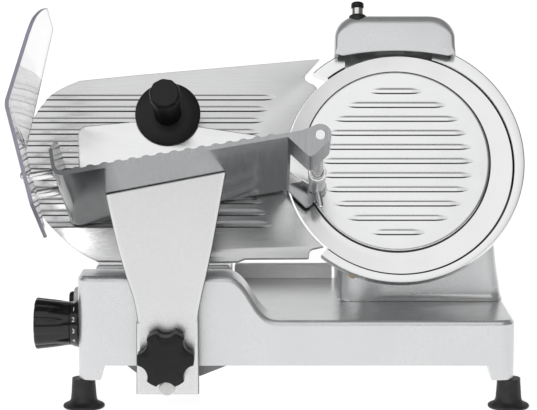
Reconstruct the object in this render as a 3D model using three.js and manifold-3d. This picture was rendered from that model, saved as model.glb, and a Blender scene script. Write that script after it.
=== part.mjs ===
// Electric gravity-feed meat slicer with a 220 mm blade, in millimetres, +Z up.
// Machine frame while building: X runs along the base, Y from its front face to the back, Z up from
// the table. The last lines move the finished group so that its origin is the centre of its footprint.
import * as THREE from "three";
import { mergeVertices } from "three/addons/utils/BufferGeometryUtils.js";
import Module from "manifold-3d";

const wasm = await Module();
wasm.setup();

// Base casting
const BASE_LENGTH = 413;
const BASE_DEPTH = 245;
const DECK_Z = 86;
const HUMP_Z = 128;
const HUMP_DEPTH = 50;
const REAR_Z = 120;
const REAR_Y = 115;
const ARCH_Z = 43;
const LEG_Z = 29;
const WALL = 4;
const FOOT_X = 202;
const FOOT_Y = [13, 231];

// Blade and its stationary parts
const BLADE_CENTRE = new THREE.Vector3(101, 88, 224.7);
const BLADE_R = 110;
const BLADE_TILT = THREE.MathUtils.degToRad(23);
const COVER_R = 90.5;
const COVER_BEADS = 11;
const COVER_BEAD_PITCH = 14.3;
const RING_IN = 111.5;
const RING_OUT = 122.5;
const RING_LIFT = 4;

// Belt drive behind the blade
const DRUM_R = 80;
const DRUM_FRONT = -24;
const DRUM_BACK = -62;
const PULLEY_R = 38;
const MOTOR_PULLEY_R = 10;
const MOTOR_AT = new THREE.Vector2(45, -40);
const MOTOR_R = 36;

// Gauge plate, in the plane of the blade
const GAUGE_ARC_R = 111.2;
const GAUGE_BEADS = 12;
const GAUGE_BEAD_PITCH = 11.74;
const GAUGE_X = -115;
const DIAL_Y = 30;
const DIAL_Z = 78;
const GAUGE_TRAVEL = 12;
const DIAL_TURN = THREE.MathUtils.degToRad(300);

// Carriage: slide, arm, tray and pusher
const ROD_Y = 30;
const ROD_Z = 52;
const ROD_R = 7;
const ARM_X = -121;
const ARM_FRONT = -24;
const ARM_BACK = -10;
const STAR_Z = 58.3;
const TRAY_CANT = THREE.MathUtils.degToRad(10);
const TRAY_UNDER = -8.3;
const TRAY_TOP = -4.3;
const TRAY_LEFT = -324.3;
const TRAY_FAR = 4;
const TRAY_NEAR = 179;
const TRAY_RIBS = 15;
const PUSH_U = -84.5;
const PUSH_W = -11;
const PUSH_ROD_R = 5;

// Frames: the blade frame has X to the right, Y up the blade plane and Z out of it towards the user;
// the tray frame is the blade frame turned by the cant of the tray.
const machine = new THREE.Group();
const bladeFrame = new THREE.Group();
const trayFrame = new THREE.Group();
bladeFrame.position.copy(BLADE_CENTRE);
bladeFrame.rotation.x = Math.PI / 2 - BLADE_TILT;
trayFrame.rotation.z = TRAY_CANT;
machine.add(bladeFrame);
bladeFrame.add(trayFrame);
machine.updateMatrixWorld(true);

function solid(geometry) {
  const bare = geometry.index ? geometry.toNonIndexed() : geometry.clone();
  bare.deleteAttribute("normal");
  bare.deleteAttribute("uv");
  const merged = mergeVertices(bare, 1e-4);
  const vertProperties = new Float32Array(merged.attributes.position.array);
  const triVerts = new Uint32Array(merged.index.array);
  return new wasm.Manifold(new wasm.Mesh({ numProp: 3, vertProperties, triVerts }));
}

function geometryOf(body) {
  const mesh = body.getMesh();
  const geometry = new THREE.BufferGeometry();
  geometry.setAttribute("position", new THREE.BufferAttribute(new Float32Array(mesh.vertProperties), 3));
  geometry.setIndex(new THREE.BufferAttribute(new Uint32Array(mesh.triVerts), 1));
  const flat = geometry.toNonIndexed();
  flat.computeVertexNormals();
  return flat;
}

function join(first, ...rest) {
  return geometryOf(rest.reduce((sum, g) => sum.add(solid(g)), solid(first)));
}

function cut(first, ...rest) {
  return geometryOf(rest.reduce((left, g) => left.subtract(solid(g)), solid(first)));
}

function common(first, second) {
  return geometryOf(solid(first).intersect(solid(second)));
}

function box(x0, x1, y0, y1, z0, z1) {
  const geometry = new THREE.BoxGeometry(x1 - x0, y1 - y0, z1 - z0);
  return geometry.translate((x0 + x1) / 2, (y0 + y1) / 2, (z0 + z1) / 2);
}

// Cylinders along one axis of the current frame, from a to b, about the point (p, q) of the other two.
function cylinderX(r, a, b, y, z, sides = 24) {
  const geometry = new THREE.CylinderGeometry(r, r, b - a, sides);
  return geometry.rotateZ(Math.PI / 2).translate((a + b) / 2, y, z);
}

function cylinderY(r, a, b, x, z, sides = 24) {
  return new THREE.CylinderGeometry(r, r, b - a, sides).translate(x, (a + b) / 2, z);
}

function cylinderZ(r, a, b, x, y, sides = 24) {
  const geometry = new THREE.CylinderGeometry(r, r, b - a, sides);
  return geometry.rotateX(Math.PI / 2).translate(x, y, (a + b) / 2);
}

function outline(points) {
  return new THREE.Shape(points.map(([x, y]) => new THREE.Vector2(x, y)));
}

// A flat outline drawn in X and Y, thickened along Z from a to b, with an optional bevelled rim.
function slab(shape, a, b, bevel = 0, curveSegments = 12) {
  const geometry = new THREE.ExtrudeGeometry(shape, {
    depth: b - a - 2 * bevel,
    bevelEnabled: bevel > 0,
    bevelThickness: bevel,
    bevelSize: bevel,
    bevelOffset: -bevel,
    bevelSegments: 1,
    curveSegments,
  });
  return geometry.translate(0, 0, a + bevel);
}

// The same for an outline drawn in X and Z, thickened along Y, or in Y and Z, thickened along X.
function slabY(shape, a, b, bevel = 0, curveSegments = 12) {
  return slab(shape, -b, -a, bevel, curveSegments).rotateX(Math.PI / 2);
}

function slabX(shape, a, b, bevel = 0) {
  const turn = new THREE.Matrix4().set(0, 0, 1, 0, 1, 0, 0, 0, 0, 1, 0, 0, 0, 0, 0, 1);
  return slab(shape, a, b, bevel).applyMatrix4(turn);
}

// A profile of [radius, height] pairs turned about Z.
function turned(profile, sides = 32) {
  const points = profile.map(([r, h]) => new THREE.Vector2(r, h));
  return new THREE.LatheGeometry(points, sides).rotateX(Math.PI / 2);
}

function roundedRectangle(x0, x1, y0, y1, r) {
  const shape = new THREE.Shape();
  shape.moveTo(x0 + r, y0);
  shape.lineTo(x1 - r, y0);
  shape.absarc(x1 - r, y0 + r, r, -Math.PI / 2, 0);
  shape.lineTo(x1, y1 - r);
  shape.absarc(x1 - r, y1 - r, r, 0, Math.PI / 2);
  shape.lineTo(x0 + r, y1);
  shape.absarc(x0 + r, y1 - r, r, Math.PI / 2, Math.PI);
  shape.lineTo(x0, y0 + r);
  shape.absarc(x0 + r, y0 + r, r, Math.PI, 1.5 * Math.PI);
  return shape;
}

function inMachine(geometry, frame) {
  return geometry.clone().applyMatrix4(frame.matrixWorld);
}

function inBlade(geometry) {
  return geometry.clone().applyMatrix4(bladeFrame.matrixWorld.clone().invert());
}

const paint = { color: 0xd4d5d7, roughness: 0.35, metalness: 0.3 };
const polished = { color: 0xe2e3e4, roughness: 0.22, metalness: 0.9 };
const steel = { color: 0xbfc2c4, roughness: 0.3, metalness: 1 };
const plastic = { color: 0x232425, roughness: 0.5, metalness: 0 };
const rubber = { color: 0x1b1b1c, roughness: 0.8, metalness: 0 };

function place(frame, name, geometry, look) {
  const mesh = new THREE.Mesh(geometry, new THREE.MeshStandardMaterial(look));
  mesh.name = name;
  frame.add(mesh);
}

// Base: a hollow aluminium casting on four legs, with a raised front hump that falls in an S-curve to
// the deck and a low cheek on the left. A box over the gauge slide and a lip along the back stand on the deck.
function baseCasting() {
  const half = BASE_LENGTH / 2;
  const plan = slab(roundedRectangle(-half, half, 0, BASE_DEPTH, 14), 0, 150, 0, 5);
  const legs = [-1, 1].flatMap((side) =>
    [[0, 30], [BASE_DEPTH - 30, BASE_DEPTH]].map(([y0, y1]) => {
      const leg = [[184.5, LEG_Z], [half, LEG_Z], [half, 60], [177, 60], [181, ARCH_Z]];
      const points = leg.map(([x, z]) => [side * x, z]);
      return slabY(outline(side > 0 ? points : points.reverse()), y0, y1);
    }),
  );
  const hump = new THREE.Shape();
  hump.moveTo(-half, 60);
  hump.lineTo(-18, 60);
  hump.lineTo(-18, DECK_Z);
  hump.bezierCurveTo(-42, DECK_Z, -42, HUMP_Z, -68, HUMP_Z);
  hump.lineTo(-half + 8, HUMP_Z);
  hump.quadraticCurveTo(-half, HUMP_Z, -half, HUMP_Z - 8);
  const body = join(
    box(-half, half, 0, BASE_DEPTH, ARCH_Z, DECK_Z),
    ...legs,
    slabY(hump, 0, HUMP_DEPTH, 0, 10),
    box(-half, -196, 40, REAR_Y - 0.3, 60, 108),
  );
  const outer = common(body, plan);
  const post = (x0, x1, y0, y1) => box(x0, x1, y0, y1, 0, 200);
  const hollow = cut(
    box(-half + WALL, half - WALL, WALL, BASE_DEPTH - WALL, ARCH_Z - 5, DECK_Z - WALL),
    post(-half, -180, 0, 34),
    post(180, half, 0, 34),
    post(-half, -180, 211, BASE_DEPTH),
    post(180, half, 211, BASE_DEPTH),
    post(-half, -196, 60, 100),
  );
  const shell = cut(
    outer,
    hollow,
    box(-180, -74, WALL, HUMP_DEPTH - WALL, 70, HUMP_Z - WALL),
    box(-194, -68, REAR_Y + WALL, BASE_DEPTH - WALL - 30, 70, REAR_Z - WALL),
    box(GAUGE_X - 27, GAUGE_X + 27, 58, 112, 70, 95),
  );
  return cut(
    shell,
    cylinderX(ROD_R + 0.3, -197, 197, ROD_Y, ROD_Z),
    cylinderX(4.6, -half - 2, -170, DIAL_Y, DIAL_Z, 16),
    cylinderX(8.6, -half - 2, -190, 80, 92),
    cylinderY(5.4, BASE_DEPTH - 10, BASE_DEPTH + 2, -150, 65, 16),
  );
}

function gaugeBox() {
  const half = BASE_LENGTH / 2;
  const plan = slab(roundedRectangle(-half, half, 0, BASE_DEPTH, 14), 0, 150, 0, 5);
  const hollow = box(-194, -68, REAR_Y + WALL, BASE_DEPTH - WALL, 70, REAR_Z - WALL);
  return common(cut(box(-198, -64, REAR_Y, BASE_DEPTH, DECK_Z + 0.3, REAR_Z), hollow), plan);
}

function deckLip() {
  return box(-62, 40, BASE_DEPTH - 12, BASE_DEPTH, DECK_Z + 0.3, 101.5);
}

function bottomPlate() {
  return slab(roundedRectangle(-176, 176, 72, 238, 6), 40, 42.5, 0, 3);
}

function foot() {
  const profile = [[0, 0], [18, 0], [19.7, 1.4], [19.8, 3], [18, 4.4], [13.6, 6.4], [12.2, 9], [11, 28.7], [0, 28.7]];
  return turned(profile, 20);
}

// Blade support: a drum round the belt drive on a hollow pillar, with the bearing boss on its back wall.
function bladeColumn() {
  const pillar = outline([[42, DECK_Z + 0.3], [206, DECK_Z + 0.3], [203, 100], [200, 118], [198, 136], [194, 158], [181, 190], [181, 215], [42, 215]]);
  const inFrontOfBlade = inMachine(box(-150, 150, -200, 150, DRUM_FRONT, 120), bladeFrame);
  const overMotor = inMachine(box(-150, 150, -78, 200, -300, DRUM_BACK), bladeFrame);
  const upright = cut(slabY(pillar, 108, 150), inFrontOfBlade, overMotor);
  const drum = inMachine(cylinderZ(DRUM_R, DRUM_BACK, DRUM_FRONT, 0, 0, 36), bladeFrame);
  const boss = inMachine(cylinderZ(20, DRUM_BACK - 22, DRUM_BACK + 2, 0, 0, 20), bladeFrame);
  const cavity = inMachine(cylinderZ(DRUM_R - WALL, DRUM_BACK + WALL, 20, 0, 0, 36), bladeFrame);
  const bore = inMachine(cylinderZ(16.3, DRUM_BACK - 30, DRUM_BACK + 1, 0, 0, 20), bladeFrame);
  const shaftHole = inMachine(cylinderZ(11.5, DRUM_BACK - 5, DRUM_BACK + 10, 0, 0, 20), bladeFrame);
  const motorHole = inMachine(cylinderZ(9, DRUM_BACK - 5, DRUM_BACK + 10, MOTOR_AT.x, MOTOR_AT.y, 20), bladeFrame);
  const pocket = box(48, 192, 114, 160, 70, 122);
  return cut(join(upright, drum, boss), cavity, bore, shaftHole, motorHole, pocket);
}

// Motor housing: a rounded cover bolted behind the drum, with vent slots in its back wall.
function motorHousing() {
  const profile = outline([[150.6, DECK_Z + 0.3], [236, DECK_Z + 0.3], [236, 196], [222, 224], [184, 240], [163, 240], [115.2, 129.4], [150.6, 114.4]]);
  const inner = outline([[154, 60], [232.5, 60], [232.5, 194], [219.5, 220.5], [183, 236.5], [100, 236.5], [100, 133], [154, 110]]);
  const front = inMachine(box(-200, 200, -200, 200, DRUM_BACK - 0.5, 100), bladeFrame);
  const slots = [0, 1, 2, 3, 4, 5].map((i) => box(72 + 18 * i, 78 + 18 * i, 225, 240, 100, 135));
  const rodHole = inMachine(cylinderZ(6, -190, -120, 0, 0, 20), bladeFrame);
  const shell = cut(slabX(profile, 42.5, 192, 3), slabX(inner, 46, 188.5));
  return cut(shell, front, rodHole, ...slots);
}

function motor() {
  const profile = [[0, -144], [30, -144], [MOTOR_R, -140], [MOTOR_R, -68], [14, -66], [14, -64], [4.4, -64], [4.4, -84], [0, -84]];
  return turned(profile, 24).translate(MOTOR_AT.x, MOTOR_AT.y, 0);
}

function motorShaft() {
  return cylinderZ(4, -82, -30, MOTOR_AT.x, MOTOR_AT.y, 16);
}

function pulley(r, flange, bore, sides) {
  const profile = [[bore, -48], [flange, -48], [flange, -43], [r, -42.5], [r, -33.5], [flange, -33], [flange, -28], [bore, -28], [bore, -48]];
  return turned(profile, sides);
}

// The belt is the outline round both pulleys, 2 mm thick.
function driveBelt() {
  const distance = MOTOR_AT.length();
  const heading = Math.atan2(MOTOR_AT.y, MOTOR_AT.x);
  const lean = Math.acos((PULLEY_R - MOTOR_PULLEY_R) / distance);
  const loop = (path, extra) => {
    path.absarc(0, 0, PULLEY_R + extra, heading + lean, heading - lean + 2 * Math.PI, false);
    path.absarc(MOTOR_AT.x, MOTOR_AT.y, MOTOR_PULLEY_R + extra, heading - lean, heading + lean, false);
    return path;
  };
  const shape = loop(new THREE.Shape(), 2.4);
  shape.holes.push(loop(new THREE.Path(), 0.4));
  return slab(shape, -42, -34, 0, 10);
}

function bearing() {
  return turned([[10.3, -4.5], [16, -4.5], [16, 4.5], [10.3, 4.5], [10.3, -4.5]], 20);
}

// Blade: ground edge at the front plane, hollow front face, bevelled back.
function blade() {
  const profile = [[8.4, -5], [103, -5], [BLADE_R, -0.4], [BLADE_R, 0], [96, -2.2], [8.4, -2.2], [8.4, -5]];
  return turned(profile, 60);
}

// Hollow spindle, with the flange that the blade is screwed to.
function bladeShaft() {
  const profile = [[5.5, -86], [10, -86], [10, -9], [26, -9], [26, -5.3], [8, -5.3], [8, -2.4], [5.5, -2.4], [5.5, -86]];
  return turned(profile, 20);
}

// Stationary disc in front of the blade, with raised horizontal beads.
function bladeCover() {
  const disc = turned([[0, -1.6], [COVER_R - 1.5, -1.6], [COVER_R, -0.6], [COVER_R - 1, 0.8], [0, 0.8]], 56);
  const beads = [];
  for (let i = 0; i < COVER_BEADS; i++) {
    const y = (i - (COVER_BEADS - 1) / 2) * COVER_BEAD_PITCH;
    const reach = Math.max(Math.sqrt(Math.max(75 * 75 - y * y, 0)), 24);
    beads.push(bead(-reach, reach, y, 4.2, 2, 0.6));
  }
  return join(disc, ...beads);
}

// A long low bead along X with rounded, tapered ends, half sunk in the face at height z.
function bead(x0, x1, y, halfWidth, height, z) {
  const length = x1 - x0 - 2 * halfWidth * 1.6;
  const geometry = new THREE.CapsuleGeometry(halfWidth, length / 1.6, 2, 8);
  return geometry.rotateZ(Math.PI / 2).scale(1.6, 1, height / halfWidth).translate((x0 + x1) / 2, y, z);
}

function coverRod() {
  return cylinderZ(4.6, -174, -2, 0, 0, 20);
}

// Rear knob that draws the cover disc tight.
function coverKnob() {
  const grip = turned([[0, -190], [11, -190], [14, -187], [14, -172], [12, -168], [0, -168]], 20);
  return cut(grip, cylinderZ(4.9, -176, -160, 0, 0, 16));
}

// Ring round the blade: open on the left, and thinned at the top where the sharpening stones work.
function guardRing() {
  const from = THREE.MathUtils.degToRad(-130);
  const to = THREE.MathUtils.degToRad(132);
  const steps = 64;
  const inner = [];
  const outer = [];
  for (let i = 0; i <= steps; i++) {
    const a = from + ((to - from) * i) / steps;
    const lift = RING_LIFT * Math.sin(a);
    const r = lift + Math.sqrt(RING_OUT * RING_OUT - RING_LIFT * RING_LIFT + lift * lift);
    outer.push([r * Math.cos(a), r * Math.sin(a)]);
    inner.push([RING_IN * Math.cos(a), RING_IN * Math.sin(a)]);
  }
  const ring = slab(outline([...outer, ...inner.reverse()]), -15, -1);
  return cut(ring, box(-52, 34, 95, 140, -11, 5));
}

// A level spacer from the back of the ring, at (x, y) of the blade frame, to the front face of the pillar.
function ringStandoff(x, y) {
  const start = new THREE.Vector3(x, y, -15.4).applyMatrix4(bladeFrame.matrixWorld);
  const post = inBlade(cylinderY(5, start.y - 10, 107.6, start.x, start.z, 16));
  return cut(post, box(-300, 300, -300, 300, -15.4, 100));
}

// Sharpener: a cover over two stones that hang from a spring-loaded plunger.
function sharpenerHousing() {
  const shape = new THREE.Shape();
  shape.moveTo(-62, 102.5);
  shape.lineTo(-53, 104);
  shape.quadraticCurveTo(-3, 120.5, 49, 104);
  shape.lineTo(56.5, 102.5);
  shape.lineTo(56.5, 128);
  shape.quadraticCurveTo(55, 152, 30, 152);
  shape.lineTo(-36, 152);
  shape.quadraticCurveTo(-60, 152, -62, 128);
  const inner = new THREE.Shape();
  inner.moveTo(-58.5, 80);
  inner.lineTo(53, 80);
  inner.lineTo(53, 128);
  inner.quadraticCurveTo(52, 148.5, 28, 148.5);
  inner.lineTo(-34, 148.5);
  inner.quadraticCurveTo(-57, 148.5, -58.5, 128);
  const clearance = new THREE.Shape();
  clearance.absarc(0, 4, 124, 0, 2 * Math.PI);
  const shell = cut(slab(shape, -40, 12, 3, 8), slab(inner, -37, 9, 0, 8));
  return cut(shell, slab(clearance, -16, 0, 0, 24), cylinderY(5.6, 140, 160, -39, 0.5, 20));
}

function stoneYoke() {
  const plate = box(-46, 24, 122, 141, -3.5, 4);
  const frontPin = cylinderZ(3, 3, 8.6, -30, 128, 14);
  const backPin = cylinderZ(3, -9.9, -3, 12, 131, 14);
  return join(plate, frontPin, backPin);
}

function stone(r, a, b, x, y) {
  return turned([[3.3, a], [r, a], [r, b], [3.3, b], [3.3, a]], 28).translate(x, y, 0);
}

function buttonStem() {
  return cylinderY(4.6, 141.3, 158, -39, 0.5, 20);
}

function buttonCap() {
  const cap = turned([[0, 158.3], [5.7, 158.3], [5.9, 160], [5.7, 164.5], [4.6, 166], [0, 166]], 20);
  return cap.rotateX(-Math.PI / 2).translate(-39, 0, 0.5);
}

// Gauge plate: a flat plate with a round left end and a hollow right edge that follows the blade.
function gaugePlate() {
  const end = [[-313.9, 85.7], [-338.1, 73.3], [-353.3, 54.8], [-361.6, 36.3], [-365.9, 14], [-363.5, -12], [-354, -40], [-337, -63.7], [-310.8, -87], [-292.2, -97]];
  const round = new THREE.SplineCurve(end.map(([x, y]) => new THREE.Vector2(x, y))).getPoints(22);
  const hollow = [];
  for (let i = 0; i <= 22; i++) {
    const a = THREE.MathUtils.degToRad(228 - 4.2 * i);
    hollow.push([GAUGE_ARC_R * Math.cos(a), GAUGE_ARC_R * Math.sin(a)]);
  }
  const edge = round.map((p) => [p.x, p.y]);
  const low = [[-181.7, -98.3], [-157, -97.7], [-154.3, -96.7], [-151.9, -95.5], [-149, -94.8], [-89.6, -94.4], [-88.3, -93.2], [-87.9, -88.6], [-86.9, -86.2], [-84.6, -85]];
  const high = [[-82.5, 81.5], [-88.5, 84.2], [-91, 86.6], [-91.8, 89.6], [-90.7, 92.2], [-76.6, 108.4], [-253.9, 92]];
  edge.push(...low, ...hollow, ...high);
  const beads = [];
  for (let i = 0; i < GAUGE_BEADS; i++) {
    const y = 69 - GAUGE_BEAD_PITCH * i;
    const left = -363 + 0.0072 * (y - 10) * (y - 10);
    beads.push(bead(left, -Math.sqrt(137 * 137 - y * y), y, 4.2, 1.9, -2.2));
  }
  return join(slab(outline(edge), -8, -2, 0.8), ...beads);
}

// Bracket behind the gauge plate: down through the deck, on to its slide, with the cam follower.
function gaugeBracket() {
  const pad = inMachine(box(-236, -196, -92, -30, -20, -8.4), bladeFrame);
  const leg = box(GAUGE_X - 20, GAUGE_X + 20, 62, 74, 60, 138);
  const block = box(GAUGE_X - 22, GAUGE_X + 22, 64, 100, 60, 79);
  const crossbar = box(-169.5, GAUGE_X - 10, 70, 80, 64, 74);
  const finger = box(-169.5, -163, 36, 80, 66, 74.5);
  const pin = cylinderX(4, -178, -165, DIAL_Y + 9.5 * Math.cos(BLADE_TILT), DIAL_Z - 9.5 * Math.sin(BLADE_TILT), 16);
  const body = join(pad, leg, block, crossbar, finger, pin);
  return cut(body, railRod(GAUGE_X - 12, 5.3, 60), railRod(GAUGE_X + 12, 5.3, 60));
}

// A rod square to the blade plane, which the gauge plate slides on.
function railRod(x, r, ahead = 34) {
  const rod = cylinderZ(r, -34, ahead, 0, 0, 20).rotateX(Math.PI / 2 - BLADE_TILT);
  return rod.translate(x, 96, 66);
}

function gaugeRail() {
  const holder = box(GAUGE_X - 24, GAUGE_X + 24, 119.5, 134, 42.8, 74);
  return join(holder, railRod(GAUGE_X - 12, 5), railRod(GAUGE_X + 12, 5));
}

// Thickness dial: knob, numbered ring, shaft and the spiral cam that pushes the gauge plate back.
function thicknessKnob() {
  const flutes = [];
  for (let i = 0; i < 60; i++) {
    const a = (i * Math.PI) / 30;
    const r = i % 6 === 0 ? 23.4 : 24.8;
    flutes.push([r * Math.cos(a), r * Math.sin(a)]);
  }
  const grip = slab(outline(flutes), -248.8, -215.4, 2.4);
  const at = grip.attributes.position;
  for (let i = 0; i < at.count; i++) {
    const taper = 1 - (0.1 * (at.getZ(i) + 248.8)) / 33.4;
    at.setXY(i, at.getX(i) * taper, at.getY(i) * taper);
  }
  return alongX(cut(grip, cylinderZ(4.3, -226, -210, 0, 0, 16)));
}

function alongX(geometry) {
  return geometry.rotateY(Math.PI / 2).translate(0, DIAL_Y, DIAL_Z);
}

function dialRing() {
  return alongX(turned([[4.4, -215], [22, -215], [23.2, -207.2], [4.4, -207.2], [4.4, -215]], 36));
}

function dialShaft() {
  return cylinderX(4, -225, -170, DIAL_Y, DIAL_Z, 20);
}

function dialCam() {
  const points = [];
  const start = -BLADE_TILT;
  const steps = 40;
  for (let i = 0; i <= steps; i++) {
    const turn = (DIAL_TURN * i) / steps;
    const r = 5 + (GAUGE_TRAVEL * i) / steps;
    points.push([r * Math.cos(start - turn), r * Math.sin(start - turn)]);
  }
  points.push([5.4 * Math.cos(start - DIAL_TURN - 0.45), 5.4 * Math.sin(start - DIAL_TURN - 0.45)]);
  const disc = slabX(outline(points.reverse()), -177, -171).translate(0, DIAL_Y, DIAL_Z);
  return cut(disc, cylinderX(4.25, -180, -168, DIAL_Y, DIAL_Z, 20));
}

function switchBezel() {
  const profile = [[8.4, 0.4], [13.5, 0.4], [13.5, 4], [12, 8], [10.5, 9.5], [8.4, 9.5], [8.4, 0.4]];
  const ring = turned(profile, 20).rotateY(-Math.PI / 2);
  return ring.translate(-BASE_LENGTH / 2, 80, 92);
}

function powerButton() {
  const button = turned([[0, -2], [8, -2], [8, 12], [7, 14.5], [0, 14.8]], 24).rotateY(-Math.PI / 2);
  return button.translate(-BASE_LENGTH / 2, 80, 92);
}

function cableGland() {
  const profile = [[4, 0], [5.1, 0], [5.1, 6.3], [9, 6.3], [9, 9], [6.5, 13], [4, 13], [4, 0]];
  return turned(profile, 20).rotateX(-Math.PI / 2).translate(-150, BASE_DEPTH - 6, 65);
}

// Carriage slide: a block on the rod inside the base, its wedge-shaped foot, a neck under the front wall to
// an upright in front of the base that the arm is clamped to, and a fork on the guide bar under the deck.
function slideBlock() {
  const wedge = outline([[-162.5, 43.5], [-147.7, 31.8], [-90.8, 31.8], [-61.3, 43.5]]);
  const neck = box(ARM_X - 22, ARM_X + 22, ARM_BACK + 0.4, 8, 31.8, 40.5);
  const upright = box(ARM_X - 22, ARM_X + 22, ARM_BACK + 0.4, -4, 31.8, 80);
  const block = box(-155, -87, 17, 47, 39, 66);
  const fork = cut(box(-140, -102, 45, 57, 56, 78), box(-141, -101, 49.4, 53.6, 60.5, 90));
  const body = join(slabY(wedge, 6, 47), neck, upright, block, fork);
  return cut(
    body,
    cylinderX(9.3, -170, -80, ROD_Y, ROD_Z),
    cylinderY(5, -20, 5, ARM_X - 0.3, STAR_Z, 20),
  );
}

function slideBush() {
  return turned([[ROD_R + 0.3, 0], [9, 0], [9, 22], [ROD_R + 0.3, 22], [ROD_R + 0.3, 0]], 24).rotateY(Math.PI / 2);
}

// Arm: a flared casting from the slide up to the underside of the tray, hollow at the back.
function carriageArm() {
  const edge = [[-149.8, 20.3], [-91.4, 20.3], [-91.6, 96], [-88, 115], [-82.7, 137.7], [-78, 160], [-62, 250], [-186, 250], [-165.6, 157.3], [-158.8, 132.3], [-152.6, 113], [-148.8, 94]];
  const pocket = [[-139, 90], [-103, 90], [-98, 118], [-91, 150], [-86, 185], [-158, 170], [-150, 135], [-143, 112]];
  const aboveTray = inMachine(box(-400, 20, TRAY_UNDER - 0.3, 120, -60, 260), trayFrame);
  const notch = join(box(ARM_X - 5.2, ARM_X + 5.6, -40, 0, 10, 28), cylinderY(5.4, -40, 0, ARM_X + 0.2, 28, 16));
  return cut(
    slabY(outline(edge), ARM_FRONT, ARM_BACK, 2),
    slabY(outline(pocket), ARM_FRONT + 5, 0),
    aboveTray,
    notch,
    cylinderY(5, -40, 0, ARM_X - 0.3, STAR_Z, 20),
  );
}

function locatingPeg() {
  const peg = turned([[0, 0.3], [7.6, 0.3], [7.6, 2.6], [6, 4], [0, 4]], 24).rotateX(Math.PI / 2);
  const shank = cylinderY(4.4, ARM_FRONT - 1, ARM_BACK + 0.1, 0, 0, 16).translate(0, -ARM_FRONT, 0);
  return join(peg, shank).translate(ARM_X + 0.2, ARM_FRONT, 28);
}

// Star knob with six lobes, on the stud that clamps the arm.
function starKnob() {
  const shape = new THREE.Shape();
  const steps = 60;
  for (let i = 0; i < steps; i++) {
    const a = (2 * Math.PI * i) / steps;
    const r = 24 + 2.6 * Math.cos(6 * a);
    if (i === 0) shape.moveTo(r * Math.cos(a), r * Math.sin(a));
    else shape.lineTo(r * Math.cos(a), r * Math.sin(a));
  }
  const lobes = slabY(shape, -23, -4, 2.5);
  const hub = cylinderY(12, -8, -0.4, 0, 0, 24);
  const stud = cylinderY(4.6, -2, 19.5, 0, 0, 16);
  return join(lobes, hub, stud).translate(ARM_X - 0.3, ARM_FRONT, STAR_Z);
}

// Tray: a cast plate ribbed on top, curled up on the left into a fence that rises towards the blade, with
// two lugs on the right for the rod.
function tray() {
  const shape = new THREE.Shape();
  const first = -303;
  const pitch = 12.5;
  shape.moveTo(TRAY_LEFT, 16.5);
  shape.lineTo(TRAY_LEFT, 2);
  shape.quadraticCurveTo(TRAY_LEFT, TRAY_UNDER, -314, TRAY_UNDER);
  shape.lineTo(-113.2, TRAY_UNDER);
  shape.lineTo(-98.5, -28.6);
  shape.quadraticCurveTo(-96, -30.5, -93, -28.5);
  shape.lineTo(-77.5, -18.2);
  shape.absarc(PUSH_U, PUSH_W, 10, -0.8, Math.PI / 2 + 0.35);
  shape.lineTo(-100, TRAY_TOP);
  for (let i = TRAY_RIBS - 1; i >= 0; i--) {
    const u = first + pitch * i;
    shape.lineTo(u + 4, TRAY_TOP);
    shape.lineTo(u + 2, TRAY_TOP + 1.5);
    shape.lineTo(u - 2, TRAY_TOP + 1.5);
    shape.lineTo(u - 4, TRAY_TOP);
  }
  shape.lineTo(-313, TRAY_TOP);
  shape.quadraticCurveTo(-321, TRAY_TOP, -321, 3);
  shape.lineTo(-321, 16.5);
  shape.absarc((TRAY_LEFT - 321) / 2, 16.5, (-321 - TRAY_LEFT) / 2, 0, Math.PI);
  const fence = outline([[TRAY_FAR, 4], [TRAY_NEAR, 4], [TRAY_NEAR, 17], [74, 57.5], [60, 60.5], [TRAY_FAR, 60.5]]);
  return cut(
    join(slab(shape, TRAY_FAR, TRAY_NEAR, 0, 8), alongU(slab(fence, 321, -TRAY_LEFT))),
    box(-111, -60, -45, 10, 10, 134),
    cylinderZ(PUSH_ROD_R + 0.3, 0, 190, PUSH_U, PUSH_W, 20),
  );
}

function pusherRod() {
  return cylinderZ(PUSH_ROD_R, TRAY_FAR + 0.5, TRAY_NEAR + 0.6, PUSH_U, PUSH_W, 20);
}

function pusherBush() {
  return turned([[5.4, 11.5], [6.5, 11.5], [6.5, 58.5], [5.4, 58.5], [5.4, 11.5]], 24).translate(PUSH_U, PUSH_W, 0);
}

// Pusher: a sheet with teeth towards the blade, on a hub that slides and turns on the rod.
function pusherPlate() {
  const edge = [[-312, 2], [-110, 2], [-92, -14], [-78, -6], [-86, 4], [-133, 43.3], [-200, 66], [-246, 77], [-296, 81], [-301.5, 77]];
  const sheet = slab(outline(edge), 28, 31);
  const hub = cylinderZ(8.6, 12, 58, PUSH_U, PUSH_W, 24);
  const lever = cylinderY(3, PUSH_W - 24, PUSH_W - 7, PUSH_U, 18, 12);
  const teeth = [];
  for (let row = 0; row < 2; row++) {
    for (let i = 0; i < 7; i++) {
      const cone = new THREE.ConeGeometry(3.2, 9, 4).rotateX(-Math.PI / 2);
      teeth.push(cone.translate(-296 + 25 * i + 8 * row, 14 + 22 * row, 24.5));
    }
  }
  const bore = cylinderZ(6.8, 0, 80, PUSH_U, PUSH_W, 24);
  return cut(join(sheet, hub, lever, ...teeth), bore);
}

function pusherDisc() {
  return turned([[0, 31.3], [30.5, 31.3], [31.5, 32.5], [31.2, 34.5], [22, 37], [0, 37]], 36).translate(-214, 78.5, 0);
}

function pusherHandle() {
  const profile = [[0, 37.3], [13, 37.3], [12.4, 44], [14.6, 84], [15.2, 94], [13.4, 98], [0, 98]];
  return turned(profile, 10).translate(-214, 78.5, 0);
}

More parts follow.
